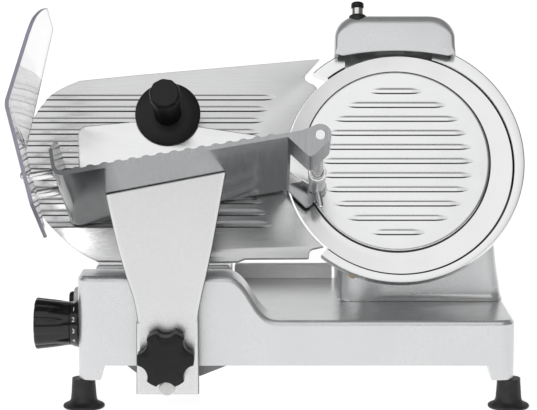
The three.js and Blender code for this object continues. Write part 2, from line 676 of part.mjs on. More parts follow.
// Hand guard: one clear sheet beside the tray, folded inwards above, on two posts.
function handGuard() {
  const section = outline([[-348, -30], [-344.5, -29.6], [-353.7, 65.8], [-307.4, 165.7], [-310.6, 167.2], [-357.3, 66.5]]);
  const sheet = slab(section, 30, TRAY_NEAR);
  const farSide = outline([[20, -40], [55, -40], [55, -30], [32.5, 66], [81, 166], [81, 180], [20, 180]]);
  const nearCorner = outline([[180, 128], [178.4, 135.5], [175.6, 142.9], [165.5, 150.8], [157, 156.8], [145, 163], [132, 168], [132, 180], [190, 180], [190, 128]]);
  return cut(
    sheet,
    alongU(slab(farSide, 290, 370)),
    alongU(slab(nearCorner, 290, 370)),
    cylinderX(2.8, -370, -330, 11, 125, 14),
    cylinderX(2.8, -370, -330, 11, 66, 14),
  );
}

// Turns a piece drawn in (n, w), thickened along −u, into the tray frame.
function alongU(geometry) {
  const turn = new THREE.Matrix4().set(0, 0, -1, 0, 0, 1, 0, 0, 1, 0, 0, 0, 0, 0, 0, 1);
  return geometry.applyMatrix4(turn);
}

function guardPost() {
  const profile = [[0, -324.7], [4.5, -324.7], [4.5, -347.8], [2.4, -347.8], [2.4, -353.2], [6, -353.2], [6, -355], [4, -356.6], [0, -356.6]];
  return turned(profile.reverse(), 18).rotateY(Math.PI / 2);
}

place(machine, "base_casting", baseCasting(), paint);
place(machine, "bottom_plate", bottomPlate(), steel);
["left", "right"].forEach((side, i) =>
  ["front", "rear"].forEach((end, j) => {
    const x = i ? FOOT_X : -FOOT_X;
    place(machine, `foot_${end}_${side}`, foot().translate(x, FOOT_Y[j], 0), rubber);
  }),
);
place(machine, "carriage_rod", cylinderX(ROD_R, -196.6, 196.6, ROD_Y, ROD_Z), steel);
place(machine, "guide_bar", box(-160, 179, 50, 53, 62, DECK_Z - WALL - 0.3), steel);
place(machine, "blade_column", bladeColumn(), paint);
place(machine, "gauge_box", gaugeBox(), paint);
place(machine, "deck_lip", deckLip(), paint);
place(machine, "motor_housing", motorHousing(), paint);
place(machine, "switch_bezel", switchBezel(), { color: 0xb9bbbd, roughness: 0.35, metalness: 0.6 });
place(machine, "power_button", powerButton(), plastic);
place(machine, "cable_gland", cableGland(), plastic);
place(machine, "gauge_rail", gaugeRail(), steel);
place(machine, "gauge_bracket", gaugeBracket(), paint);
place(machine, "thickness_knob", thicknessKnob(), plastic);
place(machine, "dial_ring", dialRing(), plastic);
place(machine, "dial_shaft", dialShaft(), steel);
place(machine, "dial_cam", dialCam(), steel);
place(machine, "slide_block", slideBlock(), paint);
place(machine, "slide_bush_left", slideBush().translate(-154.5, ROD_Y, ROD_Z), { color: 0xb08a4a, roughness: 0.4, metalness: 0.9 });
place(machine, "slide_bush_right", slideBush().translate(-109.5, ROD_Y, ROD_Z), { color: 0xb08a4a, roughness: 0.4, metalness: 0.9 });
place(machine, "carriage_arm", carriageArm(), paint);
place(machine, "locating_peg", locatingPeg(), steel);
place(machine, "star_knob", starKnob(), plastic);

place(bladeFrame, "motor", motor(), { color: 0x6d7073, roughness: 0.5, metalness: 0.6 });
place(bladeFrame, "motor_shaft", motorShaft(), steel);
place(bladeFrame, "motor_pulley", pulley(MOTOR_PULLEY_R, 12.5, 4.3, 16).translate(MOTOR_AT.x, MOTOR_AT.y, 0), steel);
place(bladeFrame, "drive_belt", driveBelt(), rubber);
place(bladeFrame, "bearing_front", bearing().translate(0, 0, -66), steel);
place(bladeFrame, "bearing_rear", bearing().translate(0, 0, -79), steel);
place(bladeFrame, "blade", blade(), polished);
place(bladeFrame, "blade_shaft", bladeShaft(), steel);
place(bladeFrame, "blade_pulley", pulley(PULLEY_R, 41, 10.3, 28), { color: 0x8b8e91, roughness: 0.5, metalness: 0.8 });
place(bladeFrame, "blade_cover", bladeCover(), polished);
place(bladeFrame, "cover_rod", coverRod(), steel);
place(bladeFrame, "cover_knob", coverKnob(), plastic);
place(bladeFrame, "blade_guard_ring", guardRing(), polished);
place(bladeFrame, "ring_standoff_left", ringStandoff(-46, -106), { color: 0xa98443, roughness: 0.4, metalness: 0.9 });
place(bladeFrame, "ring_standoff_right", ringStandoff(82, -80), { color: 0xa98443, roughness: 0.4, metalness: 0.9 });
place(bladeFrame, "sharpener_housing", sharpenerHousing(), paint);
place(bladeFrame, "stone_yoke", stoneYoke(), steel);
place(bladeFrame, "stone_front", stone(12, 4.6, 8.5, -30, 128), { color: 0xd8d2c4, roughness: 0.9, metalness: 0 });
place(bladeFrame, "stone_back", stone(11.5, -9.8, -4.2, 12, 131), { color: 0xc9b6a0, roughness: 0.9, metalness: 0 });
place(bladeFrame, "button_stem", buttonStem(), steel);
place(bladeFrame, "button_cap", buttonCap(), plastic);
place(bladeFrame, "gauge_plate", gaugePlate(), polished);

place(trayFrame, "tray", tray(), polished);
place(trayFrame, "pusher_rod", pusherRod(), steel);
place(trayFrame, "pusher_bush", pusherBush(), { color: 0xe8e8e6, roughness: 0.5, metalness: 0 });
place(trayFrame, "pusher_plate", pusherPlate(), polished);
place(trayFrame, "pusher_disc", pusherDisc(), plastic);
place(trayFrame, "pusher_handle", pusherHandle(), plastic);
place(trayFrame, "hand_guard", handGuard(), { color: 0xe6ddf0, roughness: 0.08, metalness: 0, opacity: 0.35, transparent: true });
place(trayFrame, "guard_post_front", guardPost().translate(0, 11, 125), steel);
place(trayFrame, "guard_post_rear", guardPost().translate(0, 11, 66), steel);

// Origin at the centre of the footprint, on the table.
machine.updateMatrixWorld(true);
const extent = new THREE.Box3().setFromObject(machine, true);
machine.position.set(-(extent.min.x + extent.max.x) / 2, -(extent.min.y + extent.max.y) / 2, -extent.min.z);
const slicer = new THREE.Group();
slicer.add(machine);
slicer.updateMatrixWorld(true);

export default slicer;
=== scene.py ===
import math

import bmesh
import bpy
from mathutils import Matrix, Vector


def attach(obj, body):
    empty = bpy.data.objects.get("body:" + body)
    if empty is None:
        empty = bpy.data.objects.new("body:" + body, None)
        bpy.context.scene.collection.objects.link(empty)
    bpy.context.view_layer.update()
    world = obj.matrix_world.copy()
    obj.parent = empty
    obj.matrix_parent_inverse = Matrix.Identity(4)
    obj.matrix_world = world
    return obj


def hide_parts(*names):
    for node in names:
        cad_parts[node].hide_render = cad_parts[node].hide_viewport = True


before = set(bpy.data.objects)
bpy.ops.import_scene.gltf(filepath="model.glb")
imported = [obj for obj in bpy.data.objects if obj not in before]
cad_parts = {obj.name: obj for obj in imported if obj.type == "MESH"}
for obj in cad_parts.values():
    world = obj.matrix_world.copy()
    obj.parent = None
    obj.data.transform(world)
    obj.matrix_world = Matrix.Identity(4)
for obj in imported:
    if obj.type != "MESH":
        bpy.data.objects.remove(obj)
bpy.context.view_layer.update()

# ---- Studio
# A white sweep under soft light, seen from the front and a little above, as the slicer stands on a
# worktop. The floor is matt and keeps the shadow, and its own glow is only seen, it lights nothing.
PHOTO_WIDTH, FOCAL_PIXELS, SENSOR = 537, 2100, 36
EYE, EYE_PITCH = (-0.005613, -2.020434, 0.4622), 82.2
SOFTBOX, BACKDROP = (-0.1, -0.74, 0.665), (0, 0.98, 0.2)

bpy.context.scene.view_settings.view_transform = "Standard"
bpy.ops.object.select_all(action="DESELECT")
bpy.ops.object.camera_add(location=EYE, rotation=(math.radians(EYE_PITCH), 0, 0))
camera = bpy.context.object
camera.data.sensor_fit = "HORIZONTAL"
camera.data.sensor_width = SENSOR
camera.data.lens = FOCAL_PIXELS / PHOTO_WIDTH * SENSOR
camera.data.clip_end = 200
bpy.context.scene.camera = camera


def lamp(kind, energy, place, aim, **settings):
    """Hangs a lamp, turned to the point it lights, that doesn't show in mirrors."""
    turn = (Vector(aim) - Vector(place)).to_track_quat("-Z", "Y").to_euler()
    bpy.ops.object.light_add(type=kind, location=place, rotation=turn)
    made = bpy.context.object
    made.data.energy, made.visible_glossy = energy, False
    for name, value in settings.items():
        setattr(made.data, name, value)


lamp("SUN", 1.9, (-0.4, -2.2, 0.55), (0, 0, 0.1), angle=math.radians(40))
lamp("AREA", 2.5, (-1.6, -1.0, 0.9), (0, 0, 0.2), shape="RECTANGLE", size=0.7, size_y=1.2)


class Wire:
    """A socket in a node tree. Sums written on wires add the Math nodes that work them out."""

    def __init__(self, tree, socket):
        self.tree, self.socket = tree, socket

    def sum(self, operation, *values):
        return self.tree.node("ShaderNodeMath", {"operation": operation}, dict(enumerate(values)))

    def __add__(self, other):
        return self.sum("ADD", self, other)

    def __mul__(self, other):
        return self.sum("MULTIPLY", self, other)

    __radd__ = __add__
    __rmul__ = __mul__


class Wiring:
    """A node tree that takes each node with its settings first and then its sockets."""

    def __init__(self, owner):
        owner.use_nodes = True
        self.owner, self.nodes, self.links = owner, owner.node_tree.nodes, owner.node_tree.links

    def node(self, kind, settings={}, sockets={}, output=0):
        made = self.nodes.new(kind)
        for name, value in settings.items():
            setattr(made, name, value)
        for name, value in sockets.items():
            self.feed(made.inputs[name], value)
        return Wire(self, made.outputs[output])

    def feed(self, socket, value):
        if isinstance(value, Wire):
            self.links.new(value.socket, socket)
        else:
            socket.default_value = value


def seen(tree):
    """One for rays that come from the eye, a mirror or glass, and nothing for those that light."""
    path = tree.node("ShaderNodeLightPath", output="Is Camera Ray").socket.node.outputs
    parts = [Wire(tree, path[f"Is {ray} Ray"]) for ray in ("Camera", "Glossy", "Transmission")]
    return parts[0].sum("MAXIMUM", parts[0], parts[0].sum("MAXIMUM", parts[1], parts[2]))


sky = Wiring(bpy.context.scene.world or bpy.data.worlds.new("studio"))
bpy.context.scene.world = sky.owner
aim = sky.node("ShaderNodeTexCoord", output="Generated")


def sky_vector(operation, first, second=(0, 0, 0), output="Vector"):
    return sky.node("ShaderNodeVectorMath", {"operation": operation}, {0: first, 1: second}, output)


def fade(value, low, high, start=0, end=1):
    """Turns softly from start to end while a value rises from low to high."""
    return sky.node(
        "ShaderNodeMapRange", {"interpolation_type": "SMOOTHSTEP"},
        {"Value": value, "From Min": low, "From Max": high, "To Min": start, "To Max": end},
    )


# A wide softbox in front, shut off towards the right, and a paper backdrop that ends above the slicer.
level = sky_vector("NORMALIZE", sky_vector("MULTIPLY", aim, (0.4, 1, 1)))
spread = fade(sky_vector("DOT_PRODUCT", level, SOFTBOX, "Value"), 0.83, 0.95)
open_left = fade(sky.node("ShaderNodeSeparateXYZ", {}, {"Vector": aim}, "X"), 0.15, 0.5, 1, 0)
paper = fade(sky_vector("DOT_PRODUCT", aim, BACKDROP, "Value"), 0.3, 0.65)
below = fade(sky.node("ShaderNodeSeparateXYZ", {}, {"Vector": aim}, "Z"), 0.35, 0.7, 1, 0)
room = 0.13 + 0.85 * spread * open_left + 0.75 * paper * below
sky.feed(sky.nodes["Background"].inputs["Color"], (1, 1, 1, 1))
sky.feed(sky.nodes["Background"].inputs["Strength"], (0.8 + 0.2 * seen(sky)) * room)

bpy.ops.mesh.primitive_plane_add(size=90)
floor = bpy.context.object
floor.name = "studio_floor"
sweep = Wiring(bpy.data.materials.new("studio_floor"))
floor_look = {
    "Base Color": (0.9, 0.9, 0.9, 1), "Roughness": 0.9, "Specular IOR Level": 0.1,
    "Emission Color": (1, 1, 1, 1), "Emission Strength": seen(sweep) * 0.72,
}
for name, value in floor_look.items():
    sweep.feed(sweep.nodes["Principled BSDF"].inputs[name], value)
floor.data.materials.append(sweep.owner)

# ---- Base casting
# One hollow aluminium casting, sprayed silver: a long deck on four short legs, with a hump at the front
# left that falls in an S to the deck, and a low cheek behind it for the switch.
MM = 0.001
machine = Matrix.Translation((0.020737, -0.077634, 0))
HALF, DEPTH = 206.5, 245
ARCH, DECK, HUMP, CHEEK, LEG = 43, 86, 128, 108, 29
HUMP_BACK, CHEEK_BACK, CHEEK_RIGHT = 50, 114.7, -196
LEG_IN, LEG_FRONT, LEG_REAR = 181, 30, 215
ON_DECK = DECK + 0.3


def clear_selection():
    if bpy.context.mode != "OBJECT":
        bpy.ops.object.mode_set(mode="OBJECT")
    bpy.ops.object.select_all(action="DESELECT")


def take(piece):
    """Selects one piece alone and makes it the active one."""
    clear_selection()
    piece.select_set(True)
    bpy.context.view_layer.objects.active = piece


def begin(name):
    """Names the primitive that was just added and opens it for editing, all selected."""
    piece = bpy.context.object
    piece.name = piece.data.name = name
    bpy.ops.object.mode_set(mode="EDIT")
    bpy.ops.mesh.select_mode(type="VERT")
    bpy.ops.mesh.select_all(action="SELECT")
    return piece


def corners():
    return bmesh.from_edit_mesh(bpy.context.object.data)


def pick(kind, test):
    """Selects only the verts, edges or faces of the open piece that pass a test."""
    bpy.ops.mesh.select_mode(type=kind[:-1].upper())
    bpy.ops.mesh.select_all(action="DESELECT")
    mesh = corners()
    mesh.normal_update()
    for part in getattr(mesh, kind):
        if test(part):
            part.select_set(True)
    mesh.select_flush_mode()
    bmesh.update_edit_mesh(bpy.context.object.data)


def middle(edge):
    return (edge.verts[0].co + edge.verts[1].co) / 2


def span(edge, axis):
    """How far an edge runs along an axis."""
    return abs(getattr(edge.verts[0].co - edge.verts[1].co, axis))


def centre(face):
    return face.calc_center_median()


def sharp(edge, degrees=35):
    """True for an outward corner steeper than that many degrees."""
    folded = len(edge.link_faces) == 2 and edge.calc_face_angle(0) > math.radians(degrees)
    return folded and edge.is_convex


def draw_out(offset):
    bpy.ops.mesh.extrude_region_move(TRANSFORM_OT_translate={"value": offset})


def step_in(scale, offset, centre=(0, 0, 0)):
    """Draws a smaller copy of the selected end face out of it, or into it."""
    draw_out(offset)
    bpy.ops.transform.resize(value=scale, center_override=centre)


def round_over(radius, steps, test):
    """Rounds the edges of the open piece that pass a test."""
    pick("edges", test)
    bpy.ops.mesh.bevel(offset=radius, segments=steps, affect="EDGES", clamp_overlap=False)


def slice_at(point, normal, **cut):
    bpy.ops.mesh.select_all(action="SELECT")
    bpy.ops.mesh.bisect(plane_co=point, plane_no=normal, **cut)


def close_up():
    """Merges doubles and turns the skin outwards."""
    bpy.ops.mesh.select_all(action="SELECT")
    bpy.ops.mesh.remove_doubles(threshold=0.001)
    bpy.ops.mesh.normals_make_consistent(inside=False)


def block(name, low, high):
    """A box between two corners, open for editing."""
    clear_selection()
    bpy.ops.mesh.primitive_cube_add(size=1)
    piece = begin(name)
    bpy.ops.transform.resize(value=[b - a for a, b in zip(low, high)], center_override=(0, 0, 0))
    bpy.ops.transform.translate(value=[(a + b) / 2 for a, b in zip(low, high)])
    return piece


def carve(piece, *tools, operation="DIFFERENCE"):
    """Cuts the tools out of a piece, or adds them to it, and throws the tools away."""
    take(piece)
    for tool in tools:
        cut = piece.modifiers.new("cut", "BOOLEAN")
        cut.operation, cut.object, cut.solver = operation, tool, "EXACT"
        bpy.ops.object.modifier_apply(modifier=cut.name)
        bpy.data.objects.remove(tool)


def join(first, *rest):
    take(first)
    for piece in rest:
        piece.select_set(True)
    bpy.ops.object.join()
    return first


def settle(piece, place, angle=32, flats=False):
    """Smooths a piece made in millimetres, flat up to its rolled edges if need be, and puts it in place."""
    take(piece)
    bpy.ops.object.shade_smooth_by_angle(angle=math.radians(angle))
    if flats:
        even = piece.modifiers.new("flats", "WEIGHTED_NORMAL")
        even.keep_sharp = True
        bpy.ops.object.modifier_apply(modifier=even.name)
    piece.matrix_world = place @ Matrix.Scale(MM, 4)
    bpy.ops.object.transform_apply(location=True, rotation=True, scale=True)


def fit(piece, finish, body, slot, *nodes):
    """Gives a piece its finish and the body it rides on, and lets it stand for its solids."""
    piece.data.materials.clear()
    piece.data.materials.append(finish.owner)
    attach(piece, body)
    if nodes:
        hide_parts(*nodes)


def bezier(points, steps):
    """Points on the Bezier curve through two, three or four control points."""
    curve = []
    for i in range(steps + 1):
        row, t = [Vector(p) for p in points], i / steps
        while len(row) > 1:
            row = [a.lerp(b, t) for a, b in zip(row, row[1:])]
        curve.append(tuple(row[0]))
    return curve


def along(table, value):
    """A value read from a table of (key, value) pairs in rising order of key."""
    for (k0, v0), (k1, v1) in zip(table, table[1:]):
        if value <= k1:
            return v0 + (v1 - v0) * max(value - k0, 0) / (k1 - k0)
    return table[-1][1]


# From left to right, the front of the casting falls from the hump to the deck.
fall = bezier([(-18, DECK), (-42, DECK), (-42, HUMP), (-68, HUMP)], 12)[::-1]
base = block("base_shell", (-HALF, 0, ARCH), (HALF, DEPTH, DECK))
round_over(14, 6, lambda e: span(e, "z") > 1)
for x in [x for x, z in reversed(fall)] + [CHEEK_RIGHT, -LEG_IN, LEG_IN]:
    slice_at((x, 0, 0), (1, 0, 0))
for y in (LEG_FRONT, HUMP_BACK, CHEEK_BACK, LEG_REAR):
    slice_at((0, y, 0), (0, 1, 0))
tops = [
    (HUMP, lambda c: c.y < HUMP_BACK and c.x < fall[-1][0]),
    (CHEEK, lambda c: HUMP_BACK < c.y < CHEEK_BACK and c.x < CHEEK_RIGHT),
]
for height, test in tops:
    pick("faces", lambda f: f.normal.z > 0.9 and centre(f).z < DECK + 1 and test(centre(f)))
    draw_out((0, 0, height - DECK))
    if height == HUMP:
        for corner in [v for v in corners().verts if v.select]:
            corner.co.z = along(fall, corner.co.x)


def over_leg(spot):
    return abs(spot.x) > LEG_IN and not LEG_FRONT < spot.y < LEG_REAR


pick("faces", lambda f: f.normal.z < -0.9 and over_leg(centre(f)))
draw_out((0, 0, LEG - ARCH))
for corner in [v for v in corners().verts if v.select and abs(abs(v.co.x) - LEG_IN) < 0.1]:
    corner.co.x += math.copysign(3.5, corner.co.x)
close_up()
bpy.ops.mesh.dissolve_limited(angle_limit=math.radians(1))
round_over(4.8, 4, lambda e: sharp(e) and middle(e).z > 70 and span(e, "z") < 12)
carve(
    base,
    block("hollow", (-179, 4, 30), (179, 241, 82)),
    block("hollow", (-180, 4, 70), (-74, 46, 123)),
    block("hollow", (-190, 121, 70), (-70, 211, 116)),
    block("hollow", (-142, 58, 70), (-88, 112, 95)),
)
settle(base, machine, flats=True)


class Finish(Wiring):
    """A material on one Principled shader, in the object's own coordinates."""

    def __init__(self, name, **values):
        super().__init__(bpy.data.materials.new(name))
        self.shader = self.nodes["Principled BSDF"]
        self.place = self.node("ShaderNodeTexCoord", output="Object")
        self.set(**values)

    def set(self, **values):
        for name, value in values.items():
            socket = {"Specular": "Specular IOR Level"}.get(name, name.replace("_", " "))
            self.feed(self.shader.inputs[socket], value)

    def noise(self, size, detail=2, stretch=(1, 1, 1)):
        """Cloudy noise about that many millimetres across, drawn out along an axis by a stretch."""
        squeeze = {"Vector": self.place, "Scale": [1 / s for s in stretch]}
        spot = self.node("ShaderNodeMapping", {"vector_type": "POINT"}, squeeze)
        return self.node("ShaderNodeTexNoise", {}, {"Vector": spot, "Scale": 1000 / size, "Detail": detail})

    def blend(self, mask, first, second):
        """One colour turning to another where the mask rises from nothing to one."""
        return self.node("ShaderNodeMix", {"data_type": "RGBA"}, {0: mask, 6: first, 7: second}, output=2)

    def clip(self, value, low, high):
        """The value stretched so that low becomes nothing and high becomes one."""
        return self.node("ShaderNodeMapRange", {}, {"Value": value, "From Min": low, "From Max": high})

    def dent(self, height, depth):
        """A bump that many millimetres deep."""
        return self.node("ShaderNodeBump", {}, {"Height": height, "Strength": 1, "Distance": depth * MM})


def grey(value, warmth=0):
    return (value * (1 + warmth), value, value * (1 - warmth), 1)


# Sprayed silver lacquer: fine flake, a slight orange peel, and a breath of dust in broad clouds.
silver = Finish("silver_lacquer", Metallic=0.75, Coat_Weight=0.3, Coat_Roughness=0.12)
flake = silver.clip(silver.noise(0.45, 1), 0.35, 0.65)
cloud = silver.clip(silver.noise(60, 3), 0.3, 0.7)
lacquer = silver.blend(flake, grey(0.69, -0.012), grey(0.75, -0.008))
silver.set(
    Base_Color=silver.blend(cloud * 0.3, lacquer, grey(0.7, -0.01)),
    Roughness=0.25 + 0.05 * cloud + 0.04 * flake,
    Normal=silver.dent(silver.noise(1.6, 2) + 0.3 * flake, 0.005),
)
fit(base, silver, "base", "paint", "base_casting")

# ---- Gauge box and deck lip
# A folded cover over the gauge slide stands on the deck behind the hump, lacquered like the casting. A low
# bar of pale plastic runs along the back of the deck beside it. Both are screwed down from below.


def mottled(name, clouds, colours, rough=None, grain=None, window=(0.3, 0.7), **values):
    """A finish that clouds over from one colour to another, and rougher by the second number of rough. Its
    grain is a depth in millimetres, of the clouds or of a noise that follows with its own size and detail."""
    made = Finish(name, **values)
    cloud = made.clip(made.noise(*clouds), *window)
    made.set(Base_Color=made.blend(cloud, *colours))
    if rough:
        made.set(Roughness=rough[0] + rough[1] * cloud)
    if grain:
        depth, *own = grain
        made.set(Normal=made.dent(made.noise(*own) if own else cloud, depth))
    return made


gauge_cover = block("gauge_cover", (-198, 115, ON_DECK), (-64, DEPTH, 120))
round_over(11, 5, lambda e: middle(e).x < -190 and middle(e).y > 230)
round_over(4, 4, lambda e: sharp(e) and middle(e).z > DECK + 1)
pick("faces", lambda f: f.normal.z < -0.9)
step_in((0.94, 0.94, 1), (0, 0, 0), (-131, 180, ON_DECK))
draw_out((0, 0, 29))
settle(gauge_cover, machine, flats=True)
fit(gauge_cover, silver, "base", "paint", "gauge_box")
ivory = (grey(0.83, 0.01), grey(0.88, 0.008))
pale = mottled("pale_plastic", (6, 3), ivory, grain=(0.01, 0.6, 2), Roughness=0.4)
deck_bar = block("deck_bar", (-62, DEPTH - 12, ON_DECK), (40, DEPTH, 101.5))
round_over(3, 4, lambda e: middle(e).z > 100)
settle(deck_bar, machine)
fit(deck_bar, pale, "base", "paint", "deck_lip")

# ---- Feet
# Four black rubber feet, each moulded in one with a wide flange and a short stem, pushed up into a
# leg of the casting. A steel plate under the deck closes the casting from below.


def turned(name, profile, steps=64):
    """A turned piece about Z from (radius, height) pairs: each ring is drawn out from the last one.
    A profile that comes back to its start is a tube, and any other one is closed flat at its ends."""
    clear_selection()
    bpy.ops.mesh.primitive_circle_add(vertices=steps, radius=profile[0][0])
    piece = begin(name)
    bpy.ops.transform.translate(value=(0, 0, profile[0][1]))
    for (r0, h0), (r1, h1) in zip(profile, profile[1:]):
        draw_out((0, 0, h1 - h0))
        bpy.ops.transform.resize(value=(r1 / r0, r1 / r0, 1), center_override=(0, 0, h1))
    if profile[0] != profile[-1]:
        bpy.ops.mesh.edge_face_add()
        pick("edges", lambda e: len(e.link_faces) == 1)
        bpy.ops.mesh.edge_face_add()
    close_up()
    return piece


def copy_of(piece, name):
    take(piece)
    bpy.ops.object.duplicate()
    bpy.context.object.name = bpy.context.object.data.name = name
    return bpy.context.object


def coat(finish, *nodes):
    """Gives solids that stay in sight a finish."""
    for node in nodes:
        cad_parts[node].material_slots[0].material = finish.owner


soot = (grey(0.016), grey(0.034, 0.02))
rubber = mottled("black_rubber", (9, 4), soot, (0.44, 0.2), (0.05, 0.8, 3), (0.4, 0.75), Specular=0.4)
foot_profile = [
    (16.5, 0), (18.8, 0.3), (19.6, 1.1), (19.8, 2.2), (19.4, 3.2), (18, 4.1), (15.6, 5.1), (13.7, 6.3),
    (12.7, 8), (12.2, 10.4), (11.7, 17), (11.1, 26), (11, 28.7),
]
foot = turned("foot", foot_profile, 48)
for end, y in (("front", 13), ("rear", 231)):
    for side, x in (("left", -202), ("right", 202)):
        cast = copy_of(foot, f"rubber_foot_{end}_{side}")
        settle(cast, machine @ Matrix.Translation((x * MM, y * MM, 0)))
        fit(cast, rubber, "base", "rubber", f"foot_{end}_{side}")
bpy.data.objects.remove(foot)

# Plain bright steel, ground along its length with fine scratches.
scratches, ground_greys = (0.5, 3, (30, 1, 1)), (grey(0.52, 0.01), grey(0.66, 0.005))
steel = mottled("ground_steel", scratches, ground_greys, (0.24, 0.14), (0.004,), Metallic=1)
coat(steel, "bottom_plate", "carriage_rod", "guide_bar", "gauge_rail", "dial_shaft", "dial_cam")

# ---- Power switch
# A push button in a light grey collar, screwed into the left cheek of the casting.


def upright(*turns):
    """A turn of a piece made along Z, in degrees about named axes, the last one first."""
    turn = Matrix.Identity(4)
    for degrees, axis in turns:
        turn = turn @ Matrix.Rotation(math.radians(degrees), 4, axis)
    return turn


def at(x, y, z):
    return Matrix.Translation((x * MM, y * MM, z * MM))


def turn_up(name, profile, steps, place, finish, body, slot, *nodes):
    """Turns a piece, puts it in its place and fits it."""
    piece = turned(name, profile, steps)
    settle(piece, place)
    fit(piece, finish, body, slot, *nodes)


collar_grey = mottled("grey_nylon", (3, 3), (grey(0.42), grey(0.5)), grain=(0.01, 0.5, 2), Roughness=0.45)
collar_profile = [
    (8.3, 0.4), (13.5, 0.4), (13.5, 3.4), (13.1, 4.6), (12.2, 7.6), (11.4, 9), (10.4, 9.5), (8.6, 9.5),
    (8.3, 9.2), (8.3, 0.4),
]
switch_place = machine @ at(-HALF, 80, 92) @ upright((-90, "Y"))
turn_up("switch_collar", collar_profile, 48, switch_place, collar_grey, "base", "bezel", "switch_bezel")

# Moulded black plastic with a fine spark-eroded grain and faint flow marks.
black = Finish("black_plastic", Specular=0.3)
grain = black.noise(0.55, 3)
flow = black.clip(black.noise(18, 3), 0.35, 0.7)
black.set(
    Base_Color=black.blend(flow, grey(0.007), grey(0.012, 0.01)),
    Roughness=0.28 + 0.1 * flow + 0.08 * grain,
    Normal=black.dent(grain, 0.03),
)
button_profile = [
    (7.9, -2), (7.9, 11.6), (7.6, 13), (6.8, 14), (5.6, 14.4), (5.2, 14.2), (3.4, 13.8), (1.2, 13.7),
]
turn_up("push_button", button_profile, 48, switch_place, black, "switch", "black_plastic", "power_button")

# ---- Cable gland
# A black gland for the mains lead in the back wall, with a round flange and a tapered neck.
gland_profile = [
    (4, 0), (5.1, 0), (5.1, 6.3), (8.6, 6.3), (9, 6.7), (9, 8.6), (8.5, 9.2), (7.4, 10), (6.7, 12.4),
    (6.3, 13), (4.2, 13), (4, 12.6), (4, 0),
]
gland_place = machine @ at(-150, DEPTH - 6, 65) @ upright((-90, "X"))
turn_up("lead_gland", gland_profile, 48, gland_place, black, "base", "black_plastic", "cable_gland")

# ---- Blade column and motor housing
# A hollow cast pillar bolted to the deck, flared at its foot, which carries a drum behind the blade for
# the belt drive. A vented cover of the same silver lacquer closes the motor in behind it.
TILT, BLADE_AXIS = 23, (101, 88, 224.7)
blade_frame = machine @ at(*BLADE_AXIS) @ upright((90 - TILT, "X"))
OUT = Vector((0, -math.cos(math.radians(TILT)), math.sin(math.radians(TILT))))


def blade_point(n):
    """A point on the blade's axis that many millimetres in front of the blade plane."""
    return Vector(BLADE_AXIS) + OUT * n


PILLAR_LEFT, PILLAR_FRONT, PILLAR_TOP = 42, 108, 215
BOSS_X, BOSS_HALF, BOSS_DEPTH = 62, 27, 8.5
FLARE_TOP, LEAN = 118, 0.044
right_side = [
    (86, 206), (90, 204.6), (95, 203.6), (101, 202.8), (118, 200), (136, 198), (158, 194), (190, 181),
    (PILLAR_TOP, 181),
]
foot_flare = [
    (86, 8), (87.3, 5), (88.5, 3.4), (90, 2.2), (91.5, 1.6), (93, 1.3), (95, 1.08), (98, 0.9), (101, 0.75),
    (FLARE_TOP, 0),
]
pillar = block("column_pillar", (PILLAR_LEFT, PILLAR_FRONT, ON_DECK), (206, 150, PILLAR_TOP))
for z in [z for z, flare in foot_flare[1:]] + [136, 158, 174, 190]:
    slice_at((0, 0, z), (0, 0, 1))
for x in range(BOSS_X - 16, BOSS_X + 34, 4):
    slice_at((x, 0, 0), (1, 0, 0))
for corner in corners().verts:
    if corner.co.x > 100:
        corner.co.x = along(right_side, corner.co.z)
    if corner.co.y < 120:
        across = min(abs(corner.co.x - BOSS_X) / BOSS_HALF, 1)
        boss = BOSS_DEPTH * math.cos(math.pi / 2 * across) ** 2
        corner.co.y -= max(along(foot_flare, corner.co.z), boss + LEAN * max(FLARE_TOP - corner.co.z, 0))
round_over(11, 6, lambda e: sharp(e) and middle(e).y < 120 and span(e, "z") > 1)
slice_at(blade_point(-24), OUT, clear_outer=True, use_fill=True)
close_up()
carve(pillar, block("hollow", (48, 116, 60), (192, 160, 122)))
settle(pillar, machine)
drum_profile = [
    (76, -24), (78.4, -24), (79.6, -24.5), (80, -25.6), (80, -58), (79, -61), (76, -62), (20, -62), (20, -83),
    (19, -84), (16.3, -84), (16.3, -58), (76, -58), (76, -24),
]
drum = turned("belt_drum", drum_profile, 96)
settle(drum, blade_frame)
column = join(drum, pillar)
column.name = "column_casting"
fit(column, silver, "base", "paint", "blade_column")


def plate(name, points, low, high, turn=None):
    """A piece cut to an outline in X and Y and drawn out along Z, turned if need be, open for editing."""
    clear_selection()
    bpy.ops.mesh.primitive_circle_add(vertices=len(points), fill_type="NGON")
    piece = begin(name)
    mesh = corners()
    mesh.faces.ensure_lookup_table()
    for loop, point in zip(mesh.faces[0].loops, points):
        loop.vert.co = (point[0], point[1], low)
    bmesh.update_edit_mesh(piece.data)
    draw_out((0, 0, high - low))
    close_up()
    if turn:
        bmesh.ops.transform(corners(), matrix=turn, verts=corners().verts)
        close_up()
    return piece


def thicken(piece, wall):
    """Turns an open skin into a wall of that thickness, inwards."""
    take(piece)
    shell = piece.modifiers.new("wall", "SOLIDIFY")
    shell.thickness, shell.offset, shell.use_even_offset = wall, -1, True
    bpy.ops.object.modifier_apply(modifier=shell.name)


